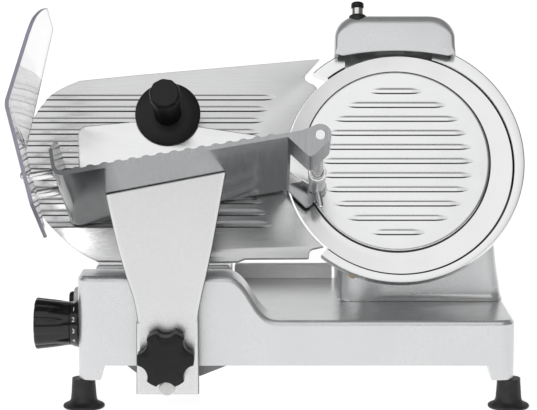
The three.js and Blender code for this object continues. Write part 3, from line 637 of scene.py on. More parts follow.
HOUSING_LEFT, HOUSING_RIGHT = 42.5, 192
BELT_WALL = 150.6
housing_side = [(134, ON_DECK), (236, ON_DECK), (236, 196), (222, 224), (184, 240), (140, 240), (100, 150)]
sideways = Matrix(((0, 0, 1), (1, 0, 0), (0, 1, 0))).to_4x4()
housing = plate("motor_cover", housing_side, HOUSING_LEFT, HOUSING_RIGHT, sideways)
round_over(8, 4, lambda e: sharp(e, 20) and middle(e).z > DECK + 1 and middle(e).y > 120)
slice_at(blade_point(-62.5), OUT, clear_outer=True)
slice_at((0, BELT_WALL, 0), (0, 1, 0))
pick("faces", lambda f: f.normal.z < -0.9 or centre(f).y < BELT_WALL and centre(f).z < 130)
bpy.ops.mesh.delete(type="FACE")
bpy.ops.mesh.select_all(action="SELECT")
bpy.ops.mesh.delete_loose()
thicken(housing, 3)
vents = [block("vent", (72 + 18 * i, 225, 100), (78 + 18 * i, 240, 135)) for i in range(6)]
for vent in vents:
    take(vent)
    bpy.ops.object.mode_set(mode="EDIT")
    round_over(2.9, 4, lambda e: span(e, "y") > 1)
carve(housing, *vents)
settle(housing, machine)
fit(housing, silver, "base", "paint", "motor_housing")

# ---- Drive
# A motor with a small pulley drives the blade's large cast pulley through a flat belt, and the blade's
# hollow spindle runs in two ball bearings in the boss of the drum. All of it is bought in or turned.
enamel = (grey(0.13), grey(0.18))
motor_grey = mottled(
    "motor_enamel", (1.2, 2), enamel, grain=(0.04, 2, 3), window=(0.35, 0.65), Metallic=0.2, Roughness=0.5,
)
coat(motor_grey, "motor")
iron = (grey(0.22), grey(0.32))
cast_iron = mottled("cast_pulley", (1.5, 4), iron, (0.42, 0.2), (0.05,), (0.3, 0.75), Metallic=0.8)
coat(cast_iron, "blade_pulley")
coat(steel, "motor_shaft", "motor_pulley", "bearing_front", "bearing_rear", "blade_shaft", "cover_rod")
coat(rubber, "drive_belt")

# ---- Blade
# A round knife of hardened steel, hollow ground: a flat hub, a ground cone out to the edge at the front
# plane and a steep bevel behind it. Fine grinding rings run round it.


def rings(finish, size, detail=3):
    """Noise that changes only with the distance from the blade's axis, as a lathe or wheel leaves it."""
    turn = blade_frame.inverted()
    local = finish.node(
        "ShaderNodeMapping", {"vector_type": "POINT"},
        {"Vector": finish.place, "Location": turn.to_translation(), "Rotation": turn.to_euler()},
    )
    flat = finish.node("ShaderNodeVectorMath", {"operation": "MULTIPLY"}, {0: local, 1: (1, 1, 0)})
    radius = finish.node("ShaderNodeVectorMath", {"operation": "LENGTH"}, {0: flat}, output="Value")
    line = finish.node("ShaderNodeCombineXYZ", {}, {"X": radius})
    return finish.node("ShaderNodeTexNoise", {}, {"Vector": line, "Scale": 1000 / size, "Detail": detail})


knife = Finish("knife_steel", Metallic=1)
ground = knife.clip(rings(knife, 0.7, 4), 0.3, 0.7)
smear = knife.clip(knife.noise(25, 3), 0.35, 0.75)
knife.set(
    Base_Color=knife.blend(ground, grey(0.84), grey(0.9)),
    Roughness=0.16 + 0.05 * ground + 0.06 * smear,
    Normal=knife.dent(ground, 0.003),
)
blade_profile = [
    (8.4, -5), (102, -5), (103.2, -4.8), (110, -0.4), (110, 0), (96.4, -2.1), (95.6, -2.2), (8.4, -2.2),
    (8.4, -5),
]
disc = turned("round_blade", blade_profile, 192)
settle(disc, blade_frame, 8)
fit(disc, knife, "blade_rotor", "blade_steel", "blade")

# ---- Cover disc
# A dished disc of bright aluminium in front of the blade's hub, pressed with eleven level beads that keep
# slices from sticking. It sits a little up and left of the blade's axis, ringed by a thin black rubber ring
# that is painted shade for the shadowed gap round its rim. A rod through the spindle and a knob at the back
# draw it tight.


def smooth(value):
    value = min(max(value, 0), 1)
    return value * value * (3 - 2 * value)


BEAD_HALF, BEAD_TAPER = 4, 16


def bead(name, height):
    """A low pressed bead along X with drawn-out ends. It rises softly from above and ends below in a step."""
    clear_selection()
    bpy.ops.mesh.primitive_grid_add(x_subdivisions=24, y_subdivisions=20, size=2)
    piece = begin(name)
    for corner in corners().verts:
        along_x, across = corner.co.x, corner.co.y
        width = BEAD_HALF * max(1 - along_x ** 2, 0.004) ** 0.55
        crest_line = min((across + 1) / 0.28, 1) * min((1 - across) / 0.9, 1) ** 1.8
        rise = height * crest_line * smooth(1 - abs(along_x))
        corner.co = (along_x * BEAD_TAPER, across * width, rise)
    draw_out((0, 0, 0))
    bpy.ops.transform.resize(value=(1, 1, 0), center_override=(0, 0, -0.5))
    close_up()
    return piece


def flanks(piece, level):
    """The faces above a level that look down: the lower sides of raised beads."""
    return [f.index for f in piece.data.polygons if f.normal.y < -0.35 and f.center.z > level]


def second_finish(piece, finish, faces):
    """Gives some faces of a piece another finish than the rest."""
    piece.data.materials.append(finish.owner)
    for i in faces:
        piece.data.polygons[i].material_index = len(piece.data.materials) - 1


def bead_row(name, height, level, spans):
    """Copies of one bead, each pulled apart at its middle to run from one X to another at a given Y."""
    pressed, row = bead(name, height), []
    for low, high, y in spans:
        row.append(copy_of(pressed, name))
        bpy.ops.object.mode_set(mode="EDIT")
        reach = (high - low) / 2 - BEAD_TAPER
        for side in (-1, 1):
            pick("verts", lambda v: v.co.x * side > 0.01)
            bpy.ops.transform.translate(value=(side * reach, 0, 0))
        bpy.ops.mesh.select_all(action="SELECT")
        bpy.ops.transform.translate(value=((low + high) / 2, y, level))
    bpy.data.objects.remove(pressed)
    return row


COVER_PITCH, COVER_REACH, SHORTEST = 14.3, 77, 24
cover_profile = [
    (1, -1.6), (88, -1.6), (89.6, -1.4), (90.4, -0.8), (90.5, -0.2), (90.1, 0.4), (89.2, 0.75), (88, 0.8),
    (1, 0.8),
]
cover = turned("cover_disc", cover_profile, 160)
spans = []
for y in [COVER_PITCH * i for i in range(-5, 6)]:
    reach = max(math.sqrt(max(COVER_REACH ** 2 - y ** 2, 0)), SHORTEST)
    spans.append((-reach, reach, y))
cover = join(cover, *bead_row("cover_bead", 0.85, 0.78, spans))
shaded = flanks(cover, 0.81)
cover_place = blade_frame @ at(-2.6, 3.2, 0)
settle(cover, cover_place, 28)


def brushed(name, dark, light):
    """Aluminium brushed along X, hazy in broad patches."""
    made = Finish(name, Metallic=1)
    brush = made.clip(made.noise(0.6, 3, (45, 1, 1)), 0.3, 0.7)
    haze = made.clip(made.noise(40, 3), 0.35, 0.7)
    made.set(
        Base_Color=made.blend(brush, dark, light),
        Roughness=0.2 + 0.04 * brush + 0.05 * haze,
        Normal=made.dent(brush, 0.0012),
    )
    return made


bright = brushed("bright_aluminium", grey(0.88, -0.004), grey(0.92, -0.002))
fit(cover, bright, "base", "polished_aluminium", "blade_cover")

# The lower side of each bead gets a near-black finish: painted shade, for the shadow below the bead.
painted_shade = mottled("unpolished_flank", (1.5, 3, (6, 1, 1)), (grey(0.035), grey(0.09)), (0.4, 0.2), Metallic=1)
second_finish(cover, painted_shade, shaded)
# Painted shade: a thin black ring round the cover for the shadowed gap under its rim.
shade_ring_profile = [(88, -2.1), (91.7, -2.1), (92, -1.8), (91.8, -1.3), (91.2, -1), (88, -1.7), (88, -2.1)]
turn_up("cover_shade_ring", shade_ring_profile, 160, cover_place, rubber, "base", "rubber")

knob_profile = [
    (9, -189.9), (11.2, -189.9), (13, -189.2), (13.7, -187.4), (13.8, -185), (13.8, -173), (13.3, -170.4),
    (12, -168.4), (10, -168), (5, -168),
]
draw_knob = turned("cover_draw_knob", knob_profile, 72)
for corner in corners().verts:
    if math.hypot(corner.co.x, corner.co.y) > 12.5:
        dip = 1 - 0.05 * max(math.cos(12 * math.atan2(corner.co.y, corner.co.x)), 0) ** 2
        corner.co.x, corner.co.y = corner.co.x * dip, corner.co.y * dip
settle(draw_knob, blade_frame)
fit(draw_knob, black, "cover_draw", "black_plastic", "cover_knob")

# ---- Guard ring
# A cast and turned aluminium ring round the blade, open on the left where the food meets the edge. Its
# front is faced flat, its outer edge is rounded over, and a thin lip inside stands behind the blade's edge.
# Two brass spacers hold it off the column.
RING_IN, RING_OUT, RING_BACK, RING_FRONT = 111.2, 122.5, -15, -1
LIP_IN, LIP_FRONT = 105, -11.5
RING_LIFT, RING_FROM, RING_TO, LIP_TO = 4, -130, 132, 125


def swept(name, inside, outside, front, rolls, end):
    """A length of ring with a square section and rolled corners, from the lower left round to an end."""
    clear_selection()
    bpy.ops.mesh.primitive_plane_add(size=1)
    piece = begin(name)
    for corner in corners().verts:
        corner.co = (inside if corner.co.x < 0 else outside, 0, RING_BACK if corner.co.y < 0 else front)
    bmesh.update_edit_mesh(piece.data)
    for r, n, radius in rolls:
        pick("verts", lambda v: abs(v.co.x - r) < 0.01 and abs(v.co.z - n) < 0.01)
        bpy.ops.mesh.bevel(offset=radius, segments=5, affect="VERTICES", clamp_overlap=False)
    start = Matrix.Rotation(math.radians(RING_FROM), 4, "Z")
    bmesh.ops.transform(corners(), matrix=start, verts=corners().verts)
    bpy.ops.mesh.select_all(action="SELECT")
    bpy.ops.mesh.spin(steps=120, angle=math.radians(end - RING_FROM), center=(0, 0, 0), axis=(0, 0, -1))
    close_up()
    return piece


ring_lip = swept("ring_lip", LIP_IN, RING_IN + 2, LIP_FRONT, [(LIP_IN, LIP_FRONT, 0.8)], LIP_TO)
rolled = [(RING_OUT, RING_FRONT, 1.3), (RING_OUT, RING_BACK, 2), (RING_IN, RING_FRONT, 1)]
ring = swept("guard_ring", RING_IN, RING_OUT, RING_FRONT, rolled, RING_TO)
# The bore is a millimetre off the axis, towards the upper right, and the rim is a little lifted.
for corner in corners().verts:
    r, a = math.hypot(corner.co.x, corner.co.y), math.atan2(corner.co.y, corner.co.x)
    lift = RING_LIFT * math.sin(a)
    rim = lift + math.sqrt(RING_OUT ** 2 - RING_LIFT ** 2 + lift ** 2)
    gap = RING_IN + math.cos(a - math.radians(40))
    wide = gap + (r - RING_IN) * (rim - gap) / (RING_OUT - RING_IN)
    corner.co.x, corner.co.y = wide * math.cos(a), wide * math.sin(a)
close_up()
end_cut = plate("end_cut", [(-100, 100.1), (-100, 60), (-60, 60), (-60, 84.2)], -20, 5)
carve(ring, block("stone_gap", (-52, 95, -11), (34, 140, 5)), end_cut)
ring = join(ring, ring_lip)
inner_edge = [
    f for f in ring.data.polygons
    if f.center.xy.length < RING_IN + 0.9 and (f.center.z < -2.2 or f.normal.z < 0.95)
]
shaded = [f.index for f in inner_edge if math.atan2(f.center.y, f.center.x) > -0.2]
rough = [f.index for f in inner_edge if f.index not in shaded]
settle(ring, blade_frame, 30)
turned_bright = Finish("turned_aluminium", Metallic=1)
lathe = turned_bright.clip(rings(turned_bright, 0.6, 4), 0.3, 0.7)
turned_bright.set(
    Base_Color=turned_bright.blend(lathe, grey(0.88, -0.004), grey(0.92, -0.002)),
    Roughness=0.2 + 0.05 * lathe,
    Normal=turned_bright.dent(lathe, 0.002),
)
fit(ring, turned_bright, "base", "polished_aluminium", "blade_guard_ring")
# Inside, the ring is painted near-black at the upper right, as painted shade, and is raw metal below.
raw_and_shade_greys = (grey(0.2, -0.01), grey(0.28, -0.01))
# This raw finish is the ring's own metal, and is also used as painted shade on the slide and the arm's sides.
raw_and_painted_shade = mottled("raw_casting", (1.2, 4), raw_and_shade_greys, (0.38, 0.16), (0.03,), Metallic=1)
# Painted shade: the near-black finish on the inner wall at the upper right.
second_finish(ring, painted_shade, shaded)
second_finish(ring, raw_and_painted_shade, rough)
tarnish = ((0.66, 0.56, 0.36, 1), (0.5, 0.41, 0.24, 1))
brass = mottled("turned_brass", (4, 4), tarnish, (0.3, 0.2), (0.01,), (0.35, 0.75), Metallic=1)
coat(brass, "ring_standoff_left", "ring_standoff_right", "slide_bush_left", "slide_bush_right")

# ---- Sharpener
# A silver lacquered cap over two whetstones on top of the ring, open below over the blade's edge. A sprung
# push button with a black cap and a bright stem presses the stones on to the blade.
CAP_LEFT, CAP_RIGHT, CAP_TOP, CAP_FRONT = -62, 56.5, 152, 12
FRONT_ROLL, SIDE_ROLL, ROLL_STEPS, BUTTON_U = 13, 4, 6, -39
sharpener_under = [(CAP_LEFT, 109), (-54, 107)]
sharpener_under += bezier([(-54, 107), (-3, 117.5), (49, 107)], 16)[1:] + [(CAP_RIGHT, 109)]
sharpener_side = sharpener_under + [(CAP_RIGHT, 116), (CAP_RIGHT, 128)]
sharpener_side += bezier([(CAP_RIGHT, 128), (55, CAP_TOP), (30, CAP_TOP)], 14)[1:]
sharpener_side += [(8, CAP_TOP), (-14, CAP_TOP), (-36, CAP_TOP)]
sharpener_side += bezier([(-36, CAP_TOP), (-60, CAP_TOP), (CAP_LEFT, 128)], 14)[1:] + [(CAP_LEFT, 116)]


def rounded(point):
    return tuple(round(c, 2) for c in point)


def inwards(points):
    """For each corner of an outline, the unit direction square to it and into it."""
    turns = {}
    for before, here, after in zip(points[-1:] + points, points, points[1:] + points[:1]):
        run = (Vector(after) - Vector(here)).normalized() + (Vector(here) - Vector(before)).normalized()
        turns[rounded(here)] = Vector((-run.y, run.x)).normalized()
    return turns


cap = plate("sharpener_cap", sharpener_side, -40, 0)
pick("faces", lambda f: f.normal.z > 0.9)
for i in range(ROLL_STEPS):
    draw_out((0, 0, 1))
round_over(6, 4, lambda e: sharp(e) and middle(e).z < -39 and middle(e).y > 121)
turn_in = inwards(sharpener_side)
for corner in corners().verts:
    level = round(corner.co.z)
    if level < 0:
        continue
    spot = rounded(corner.co.xy)
    lower = spot in [rounded(p) for p in sharpener_under]
    roll = 0.6 if lower else SIDE_ROLL + (FRONT_ROLL - SIDE_ROLL) * smooth((spot[1] - 124) / 24)
    sweep_angle = math.pi / 2 * level / ROLL_STEPS
    corner.co.xy = corner.co.xy + turn_in[spot] * roll * (1 - math.cos(sweep_angle))
    corner.co.z = CAP_FRONT - roll * (1 - math.sin(sweep_angle))
pick("faces", lambda f: f.normal.y < -0.5)
bpy.ops.mesh.delete(type="FACE")
thicken(cap, 3)
clearance = turned("clearance", [(124, -16), (124, 0)], 96)
bpy.ops.transform.translate(value=(0, 4, 0))
carve(cap, clearance)
settle(cap, blade_frame, 40)
fit(cap, silver, "base", "paint", "sharpener_housing")
coat(steel, "stone_yoke")
slate = ((0.2, 0.21, 0.23, 1), (0.32, 0.33, 0.35, 1))
coat(mottled("whetstone", (0.5, 2), slate, grain=(0.08,), Roughness=0.9), "stone_front", "stone_back")

grommet_place = blade_frame @ at(BUTTON_U, 0, 1.8) @ upright((-90, "X"))
button_place = blade_frame @ at(BUTTON_U, 0, 0.5) @ upright((-90, "X"))
grommet_profile = [
    (7.4, 141), (8.7, 141), (8.9, 147), (8.8, 150.2), (8.4, 151.4), (7.8, 151.8), (7.4, 151.5), (7.4, 141),
]
turn_up("button_grommet", grommet_profile, 48, grommet_place, rubber, "base", "rubber")
chrome = mottled("bright_chrome", (3, 2), (grey(0.72, 0.02), grey(0.8, 0.02)), (0.1, 0.06), Metallic=1)
stem_profile = [(4.2, 141.3), (5.5, 141.8), (5.9, 142.4), (5.9, 159.4), (5.5, 160), (4.8, 160.3)]
turn_up("button_rod", stem_profile, 48, button_place, chrome, "plunger", "steel", "button_stem")
cap_profile = [
    (5, 160.4), (6, 160.5), (6.3, 161), (6.3, 164.6), (6, 165.4), (5.4, 165.9), (4.6, 166), (4.2, 165.2),
    (0.6, 165.1),
]
turn_up("button_top", cap_profile, 48, button_place, black, "plunger", "black_plastic", "button_cap")

# ---- Gauge plate
# A pressed aluminium plate in the plane of the blade, with a round left end, a right edge hollowed to
# follow the knife and twelve level beads. A cast bracket behind it runs on two sloping rods.


def spline(points, steps):
    """Points on a smooth curve through all the given ones."""
    curve = []
    last = len(points) - 1
    for i in range(steps + 1):
        t = i / steps * last
        k = min(int(t), last - 1)
        a, b, c, d = (Vector(points[min(max(j, 0), last)]) for j in (k - 1, k, k + 1, k + 2))
        f = t - k
        bend, twist = 2 * a - 5 * b + 4 * c - d, 3 * b - a - 3 * c + d
        curve.append(tuple(0.5 * (2 * b + (c - a) * f + bend * f ** 2 + twist * f ** 3)))
    return curve


def arc(x, y, radius, start, end, steps):
    turns = [math.radians(start + (end - start) * i / steps) for i in range(steps + 1)]
    return [(x + radius * math.cos(a), y + radius * math.sin(a)) for a in turns]


round_end = [
    (-313.9, 85.7), (-338.1, 73.3), (-353.3, 54.8), (-361.6, 36.3), (-365.9, 14), (-363.5, -12), (-354, -40),
    (-337, -63.7), (-310.8, -87), (-292.2, -97),
]
gauge_edge = spline(round_end, 44) + [
    (-181.7, -98.3), (-157, -97.7), (-154.3, -96.7), (-151.9, -95.5), (-149, -94.8), (-89.6, -94.4),
    (-88.3, -93.2), (-87.9, -88.6), (-86.9, -86.2), (-84.6, -85),
]
gauge_edge += arc(0, 0, RING_IN, 228, 135.6, 46) + [
    (-82.5, 81.5), (-88.5, 84.2), (-91, 86.6), (-91.8, 89.6), (-90.7, 92.2), (-76.6, 108.4), (-253.9, 92),
]
gauge = plate("gauge_sheet", gauge_edge, -8, -2)
round_over(0.8, 3, lambda e: sharp(e) and span(e, "z") < 1)
GAUGE_PITCH, TOP_BEAD, BEADS_LEFT, BEADS_END = 11.74, 69, -390, 137
levels = [TOP_BEAD - GAUGE_PITCH * i for i in range(12)]
spans = [(BEADS_LEFT, -math.sqrt(BEADS_END ** 2 - y ** 2), y) for y in levels]
beads = join(*bead_row("gauge_bead", 0.8, -2.02, spans))
carve(beads, plate("outline", gauge_edge, -4, 4), operation="INTERSECT")
gauge = join(gauge, beads)
shaded = flanks(gauge, -1.99)
settle(gauge, blade_frame, 28)
satin = brushed("brushed_aluminium", grey(0.67, -0.004), grey(0.73, -0.002))
fit(gauge, satin, "gauge", "polished_aluminium", "gauge_plate")
# The lower sides of the beads get the same painted shade as on the cover.
second_finish(gauge, painted_shade, shaded)
coat(silver, "gauge_bracket")

# ---- Thickness dial
# A fluted black knob and a numbered ring on a steel shaft through the left wall, whose spiral cam moves
# the gauge plate. The figures are printed in white.
DIAL_Y, DIAL_Z, FIGURE_STEP, FIRST_FIGURE = 30, 78, 28.5, -76
dial_place = machine @ at(0, DIAL_Y, DIAL_Z) @ upright((90, "Y"))
KNOB_OUTER, KNOB_INNER, LOBES = -248.8, -215.4, 10


def flute(turn):
    """Radius of the grip round the knob: broad lobes with narrow grooves between them."""
    return 24.8 - 1.8 * (1 - math.sqrt(abs(math.sin(LOBES * turn / 2))))


def polar(reach, count):
    """An outline from its radius at each angle."""
    turns = [2 * math.pi * i / count for i in range(count)]
    return [(reach(a) * math.cos(a), reach(a) * math.sin(a)) for a in turns]


knob = plate("thickness_grip", polar(flute, 192), KNOB_OUTER, KNOB_INNER)
for z in (-232, -226, -222, -219.5):
    slice_at((0, 0, z), (0, 0, 1))
for corner in corners().verts:
    taper = 1 - 0.14 * (corner.co.z - KNOB_OUTER) / (KNOB_INNER - KNOB_OUTER)
    plain = min(max((corner.co.z + 227) / 7, 0), 1)
    even = 1 + plain * (24.2 / corner.co.xy.length - 1)
    corner.co.xy = corner.co.xy * taper * even
pick("faces", lambda f: f.normal.z < -0.9)
bpy.ops.transform.translate(value=(0, 0, 2.2))
for scale, rise in ((0.985, -1), (0.965, -0.8), (0.95, -0.4), (0.72, 0), (0.97, 1.4), (0.2, 0)):
    step_in((scale, scale, 1), (0, 0, rise))
pick("faces", lambda f: f.normal.z > 0.9)
for scale, rise in ((0.97, 0.4), (0.6, 0)):
    step_in((scale, scale, 1), (0, 0, rise))
settle(knob, dial_place, 40)
gloss = mottled("glossy_black", (14, 3), (grey(0.004), grey(0.008)), (0.12, 0.08), Specular=0.5)
fit(knob, gloss, "dial", "black_plastic", "thickness_knob")
ring_profile = [
    (4.4, -215), (20.2, -215), (20.8, -214.6), (23, -208), (23.2, -207.5), (22.8, -207.2), (4.4, -207.2),
    (4.4, -215),
]
turn_up("dial_scale", ring_profile, 96, dial_place, gloss, "dial", "black_plastic", "dial_ring")
white = mottled("white_print", (0.4, 2), (grey(0.45), grey(0.8)), window=(0.25, 0.5), Roughness=0.5)
figures = []
for i, figure in enumerate("0123456789"):
    clear_selection()
    bpy.ops.object.text_add()
    text = bpy.context.object
    text.data.body, text.data.size, text.data.extrude = figure, 6.4, 0.12
    text.data.align_x, text.data.align_y = "CENTER", "CENTER"
    bpy.ops.object.convert(target="MESH")
    turn = machine @ at(-211, DIAL_Y, DIAL_Z) @ upright((FIGURE_STEP * i + FIRST_FIGURE, "X"))
    settle(text, turn @ at(0, -22.05, 0) @ upright((90, "X"), (-18, "Y")), 20)
    figures.append(text)
figures = join(*figures)
figures.name = "dial_figures"
fit(figures, white, "dial", "black_plastic")

# ---- Carriage slide and arm
# A slide runs on a steel rod inside the base, darkened with the raw finish as painted shade for the shadow it
# stands in. A flared cast arm is pegged and clamped to its upright with a black star knob, and carries the
# tray on its sloping top.
# Painted shade: the slide gets the dark raw finish for the shadow under the base.
coat(raw_and_painted_shade, "slide_block")
facing = upright((90, "X"))
ARM_X, STAR_Z, ARM_FRONT, ARM_BACK = -121, 58.3, 24, 10
TRAY_UNDER = -8.3
tray_frame = blade_frame @ upright((10, "Z"))
arm_left = spline([(-149.4, 88), (-148.8, 94), (-152.6, 113), (-158.8, 132.3), (-165.6, 157.3)], 16)
arm_right = spline([(-78, 160), (-82.7, 137.7), (-88, 115), (-91.6, 96), (-91.6, 88)], 16)
arm_edge = [(-149.8, 20.3)] + arm_left + [(-186, 250), (-62, 250)] + arm_right + [(-91.4, 20.3)]
arm = plate("tray_arm", arm_edge, ARM_BACK, ARM_FRONT, facing)
tray_lie = machine.inverted() @ tray_frame
top = tray_lie @ Vector((0, (TRAY_UNDER - 0.3) * MM, 0)) / MM
slope = tray_lie.to_3x3() @ Vector((0, 1, 0))
slice_at(top, slope, clear_outer=True, use_fill=True)
close_up()
round_over(
    3.6, 5, lambda e: sharp(e, 50) and span(e, "y") < 1 and middle(e).y < -20 and e.calc_length() < 100,
)


def under_tray(edge):
    return any(f.normal @ slope > 0.95 for f in edge.link_faces)


round_over(1.6, 3, lambda e: middle(e).y < -18 and sharp(e) and under_tray(e))
pocket_edge = [
    (-139, 90), (-103, 90), (-98, 118), (-91, 150), (-86, 185), (-158, 170), (-150, 135), (-143, 112),
]
pocket = plate("pocket", pocket_edge, 0, ARM_FRONT - 5, facing)
notch = block("notch", (ARM_X - 5.2, -40, 10), (ARM_X + 5.6, 0, 28))
notch_top = turned("notch_top", [(5.4, 0), (5.4, 40)], 32)
settle(notch_top, Matrix.Translation((ARM_X + 0.2, 0, 28)) @ Matrix.Scale(1 / MM, 4) @ facing)
carve(arm, pocket, notch, notch_top)
sides = [f.index for f in arm.data.polygons if f.normal.y > -0.55 and f.normal.z < 0.6]
settle(arm, machine, flats=True)
blasted = Finish("satin_casting", Metallic=1)
shot = blasted.clip(blasted.noise(0.5, 2), 0.3, 0.7)
drift = blasted.clip(blasted.noise(50, 3), 0.3, 0.7)
blasted.set(
    Base_Color=blasted.blend(drift, grey(0.7, -0.002), grey(0.74, 0)),
    Roughness=0.24 + 0.03 * shot + 0.03 * drift,
    Normal=blasted.dent(shot, 0.002),
)
fit(arm, blasted, "carriage", "paint", "carriage_arm")
# Painted shade: the sides and back of the arm get the darker raw finish, darker than the lit front.
second_finish(arm, raw_and_painted_shade, sides)

front_place = machine @ at(ARM_X, -ARM_FRONT, 0) @ facing
peg_profile = [
    (4.4, -13.9), (4.4, 0.3), (7.2, 0.3), (7.6, 0.8), (7.6, 2.4), (7.2, 3.2), (6.2, 3.9), (5, 4), (1, 4),
]
turn_up("arm_peg", peg_profile, 48, front_place @ at(0.2, 28, 0), steel, "carriage", "steel", "locating_peg")
STAR_R, SCALLOP_R, SCALLOP_AT = 26.4, 11.1, 32.1


def lobe(turn):
    """Radius round the star knob: a disc with six round scallops cut out of its edge."""
    off = (turn % (math.pi / 3)) - math.pi / 6
    reach = SCALLOP_R ** 2 - (SCALLOP_AT * math.sin(off)) ** 2
    return min(STAR_R, SCALLOP_AT * math.cos(off) - math.sqrt(reach)) if reach > 0 else STAR_R


star = plate("star_grip", polar(lobe, 216), 6, 25)
for side in (-1, 1):
    pick("faces", lambda f: f.normal.z * side > 0.95)
    bpy.ops.transform.translate(value=(0, 0, -1.7 * side))
    for scale, rise in ((0.993, 0.7), (0.98, 0.6), (0.96, 0.4), (0.6, 0)):
        step_in((scale, scale, 1), (0, 0, rise * side))
hub = turned("star_hub", [(4.6, -19.5), (4.6, 0.4), (11, 0.4), (12, 1), (12.4, 7)], 48)
star = join(star, hub)
settle(star, front_place @ at(-0.3, STAR_Z, 0), 40)
fit(star, black, "clamp", "black_plastic", "star_knob")

# ---- Tray
# A cast aluminium tray, ribbed on top so that food slides and polished below, curled up along its left
# edge. Two lugs on the right hold the steel rod that the pusher slides and swings on.
TRAY_LEFT, TRAY_TOP, TRAY_FAR, TRAY_NEAR = -324.3, -4.3, 4, 179
CURL_IN, CURL_TOP = -321, 16.5
ROD_U, ROD_W = -84.5, -11
tray_edge = [(TRAY_LEFT, CURL_TOP), (TRAY_LEFT, 2)]
tray_edge += bezier([(TRAY_LEFT, 2), (TRAY_LEFT, TRAY_UNDER), (-314, TRAY_UNDER)], 10)[1:]
tray_edge += [(-113.2, TRAY_UNDER), (-98.5, -28.6)]
tray_edge += bezier([(-98.5, -28.6), (-96, -30.5), (-93, -28.5)], 4)[1:]
tray_edge += [(-77.5, -18.2)] + arc(ROD_U, ROD_W, 10, -45, 110, 20)[1:] + [(-100, TRAY_TOP)]
RIBS, FIRST_RIB, RIB_PITCH = 15, -303, 12.5
half_rib = [(4.6, 0), (3.6, 0.25), (2.4, 1.1), (1.2, 1.45)]
rib = half_rib + [(0, 1.55)] + [(-off, rise) for off, rise in reversed(half_rib)]
for i in reversed(range(RIBS)):
    tray_edge += [(FIRST_RIB + RIB_PITCH * i + off, TRAY_TOP + rise) for off, rise in rib]
tray_edge += bezier([(-313, TRAY_TOP), (CURL_IN, TRAY_TOP), (CURL_IN, 3)], 8)
tray_edge += arc((TRAY_LEFT + CURL_IN) / 2, CURL_TOP, (CURL_IN - TRAY_LEFT) / 2, 0, 180, 8)[:-1]
tray = plate("tray_casting", tray_edge, TRAY_FAR, TRAY_NEAR)
edgewise = Matrix(((0, 0, -1), (0, 1, 0), (1, 0, 0))).to_4x4()
fence_side = [
    (TRAY_FAR, 4), (TRAY_NEAR, 4), (TRAY_NEAR, CURL_TOP), (74, 56.6), (66, 59.4), (58, 60.5),
    (TRAY_FAR, 60.5),
]
fence = plate("tray_fence", fence_side, -CURL_IN, -TRAY_LEFT, edgewise)
carve(tray, fence, operation="UNION")
carve(tray, block("window", (-111, -45, 10), (-60, 10, 134)))
settle(tray, tray_frame, 30)

# Polished from front to back, with a painted reflection at its left end: a darker tone for the dark part of
# the room it mirrors.
polish = Finish("polished_casting", Metallic=1)
buff = polish.clip(polish.noise(1.2, 3, (1, 40, 40)), 0.3, 0.7)
patch = polish.clip(polish.noise(45, 3), 0.35, 0.7)
lustre = polish.blend(buff, grey(0.37, -0.025), grey(0.43, -0.02))
along_tray = polish.node("ShaderNodeSeparateXYZ", {}, {"Vector": polish.place}, output="X")
polish.set(
    Base_Color=polish.blend(polish.clip(along_tray, -0.16, -0.14), grey(0.15, -0.025), lustre),
    Roughness=0.12 + 0.04 * buff + 0.05 * patch,
    Normal=polish.dent(buff, 0.003),
)
fit(tray, polish, "carriage", "polished_aluminium", "tray")
rod_end, rod_place = TRAY_NEAR + 0.6, tray_frame @ at(ROD_U, ROD_W, 0)
rod_profile = [(4.2, TRAY_FAR + 0.5), (5, TRAY_FAR + 1.3), (5, rod_end - 1), (4.3, rod_end), (1, rod_end)]
turn_up("pusher_bar", rod_profile, 48, rod_place, bright, "carriage", "steel", "pusher_rod")

# ---- Hand guard
# One sheet of clear acrylic beside the tray, folded inwards above, with its corners cut off and its sawn
# edges showing a violet tint. Two bright posts screwed into the lip of the tray hold it.
guard_section = [
    (-348, -30), (-344.5, -29.6), (-353.7, 65.8), (-307.55, 165.4), (-310.75, 166.9), (-357.3, 66.5),
]
guard = plate("clear_guard", guard_section, 30, TRAY_NEAR)
far_side = [(20, -40), (55, -40), (55, -30), (32.5, 66), (81, 166), (81, 180), (20, 180)]
rounding = [
    (138, 165.4), (145, 162.5), (157, 156.4), (165.5, 150.5), (172, 145.4), (175.8, 140), (178.3, 132),
    (180, 120),
]
near_corner = [(132, 180), (132, 168)] + spline(rounding, 28) + [(190, 120), (190, 180)]
carve(guard, *[plate("offcut", edge, 290, 370, edgewise) for edge in (far_side, near_corner)])
bpy.ops.object.mode_set(mode="EDIT")
close_up()
round_over(5, 4, lambda e: e.calc_length() < 5.5 and middle(e).y < -20)
round_over(5, 4, lambda e: abs(middle(e).y - 66) < 3 and e.calc_length() > 60)
clear_selection()
acrylic = Finish("clear_acrylic", Transmission_Weight=1, IOR=1.49, Specular_Tint=grey(0.45))
smudge = acrylic.clip(acrylic.noise(30, 4), 0.45, 0.8)
acrylic.set(Base_Color=(0.84, 0.835, 0.845, 1), Roughness=0.01 + 0.05 * smudge)
violet = ((0.3, 0.27, 0.36, 1), (0.42, 0.39, 0.48, 1))
sawn = mottled("sawn_acrylic", (0.7, 3), violet, (0.35, 0.15), Transmission_Weight=0.35, IOR=1.49)
rim = [f.index for f in guard.data.polygons if abs(f.normal.x) < 0.75]
settle(guard, tray_frame, 25)
fit(guard, acrylic, "carriage", "acrylic", "hand_guard")
second_finish(guard, sawn, rim)
post_profile = [
    (4.2, -324.7), (4.5, -325.2), (4.5, -347.4), (4.2, -347.8), (2.4, -347.8), (2.4, -353.2), (6, -353.2),
    (6, -354.8), (5.4, -355.8), (4.2, -356.5), (1, -356.6),
]
for end, n in (("front", 125), ("rear", 66)):
    place = tray_frame @ at(0, 11, n) @ upright((90, "Y"))
    turn_up(f"guard_stud_{end}", post_profile, 40, place, bright, "carriage", "steel", f"guard_post_{end}")

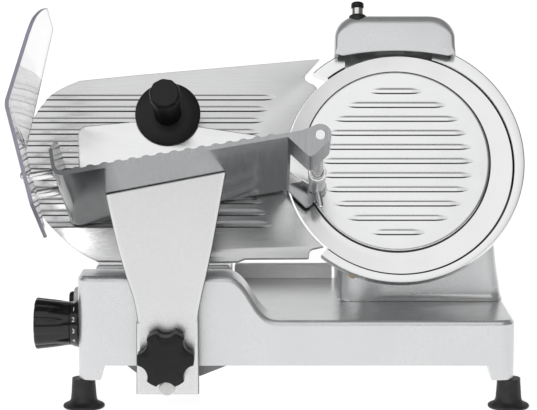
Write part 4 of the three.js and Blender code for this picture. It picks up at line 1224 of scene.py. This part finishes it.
# ---- Pusher
# A bright sheet with two rows of pyramid teeth towards the blade, welded to a hub that slides and swings
# on the rod, and moved by a black handle with a round hand shield. A nylon bush lines the hub.
sheet_edge = [
    (-312, 2), (-110, 2), (-92, -14), (-78, -6), (-86, 4), (-133, 43.3), (-200, 66), (-246, 77), (-296, 81),
    (-301.5, 77),
]
sheet = plate("pusher_sheet", sheet_edge, 28, 31)
round_over(3, 4, lambda e: span(e, "z") > 1 and middle(e).x < -120)
round_over(0.9, 3, lambda e: sharp(e, 60) and span(e, "z") < 1)
hub_profile = [(6.7, 12), (8, 12), (8.6, 12.6), (8.6, 57.4), (8, 58), (6.7, 58), (6.7, 12)]
hub = turned("pusher_hub", hub_profile, 48)
bpy.ops.transform.translate(value=(ROD_U, ROD_W, 0))
lever = turned("pusher_lever", [(2.2, 0), (3, 0.8), (3, 17)], 24)
stand = Matrix.Translation((ROD_U, ROD_W - 24, 18)) @ upright((-90, "X"))
bmesh.ops.transform(corners(), matrix=stand, verts=corners().verts)
tooth = plate("pusher_tooth", [(3.2, 0), (0, 3.2), (-3.2, 0), (0, -3.2)], -29, -20)
for corner in corners().verts:
    corner.co.z = -corner.co.z
    if corner.co.z < 25:
        corner.co.x, corner.co.y = corner.co.x * 0.06, corner.co.y * 0.06
close_up()
teeth = []
for line in range(2):
    for i in range(7):
        teeth.append(copy_of(tooth, "pusher_tooth"))
        bpy.ops.object.mode_set(mode="EDIT")
        bpy.ops.mesh.select_all(action="SELECT")
        bpy.ops.transform.translate(value=(-296 + 25 * i + 8 * line, 14 + 22 * line, 0))
clear_selection()
bpy.data.objects.remove(tooth)
sheet = join(sheet, hub, lever, *teeth)
settle(sheet, tray_frame, 30)
fit(sheet, bright, "pusher", "polished_aluminium", "pusher_plate")
chalk = (grey(0.66, 0.01), grey(0.74, 0.005))
coat(mottled("white_nylon", (5, 2), chalk, grain=(0.01, 0.6, 2), Roughness=0.5), "pusher_bush")
handle_place = tray_frame @ at(-214, 78.5, 0)
shield_profile = [
    (10, 31.3), (30, 31.3), (31, 31.7), (31.5, 32.6), (31.5, 33.4), (31, 34.4), (29.4, 35), (24, 36.2),
    (21, 36.8), (12, 37), (10, 37),
]
turn_up("hand_shield", shield_profile, 96, handle_place, black, "pusher", "black_plastic", "pusher_disc")
grip_profile = [
    (13.6, 37.3), (12.9, 40), (12.5, 45), (13.2, 62), (14.4, 82), (15, 90), (15.2, 93.4), (14.9, 95.6),
    (14.2, 97.2), (13, 98), (11, 98),
]
grip = turned("pusher_grip", grip_profile, 10)
round_over(1.2, 3, lambda e: span(e, "z") > 0.1 and middle(e).z < 97)
close_up()
settle(grip, handle_place, 25)
fit(grip, black, "pusher", "black_plastic", "pusher_handle")
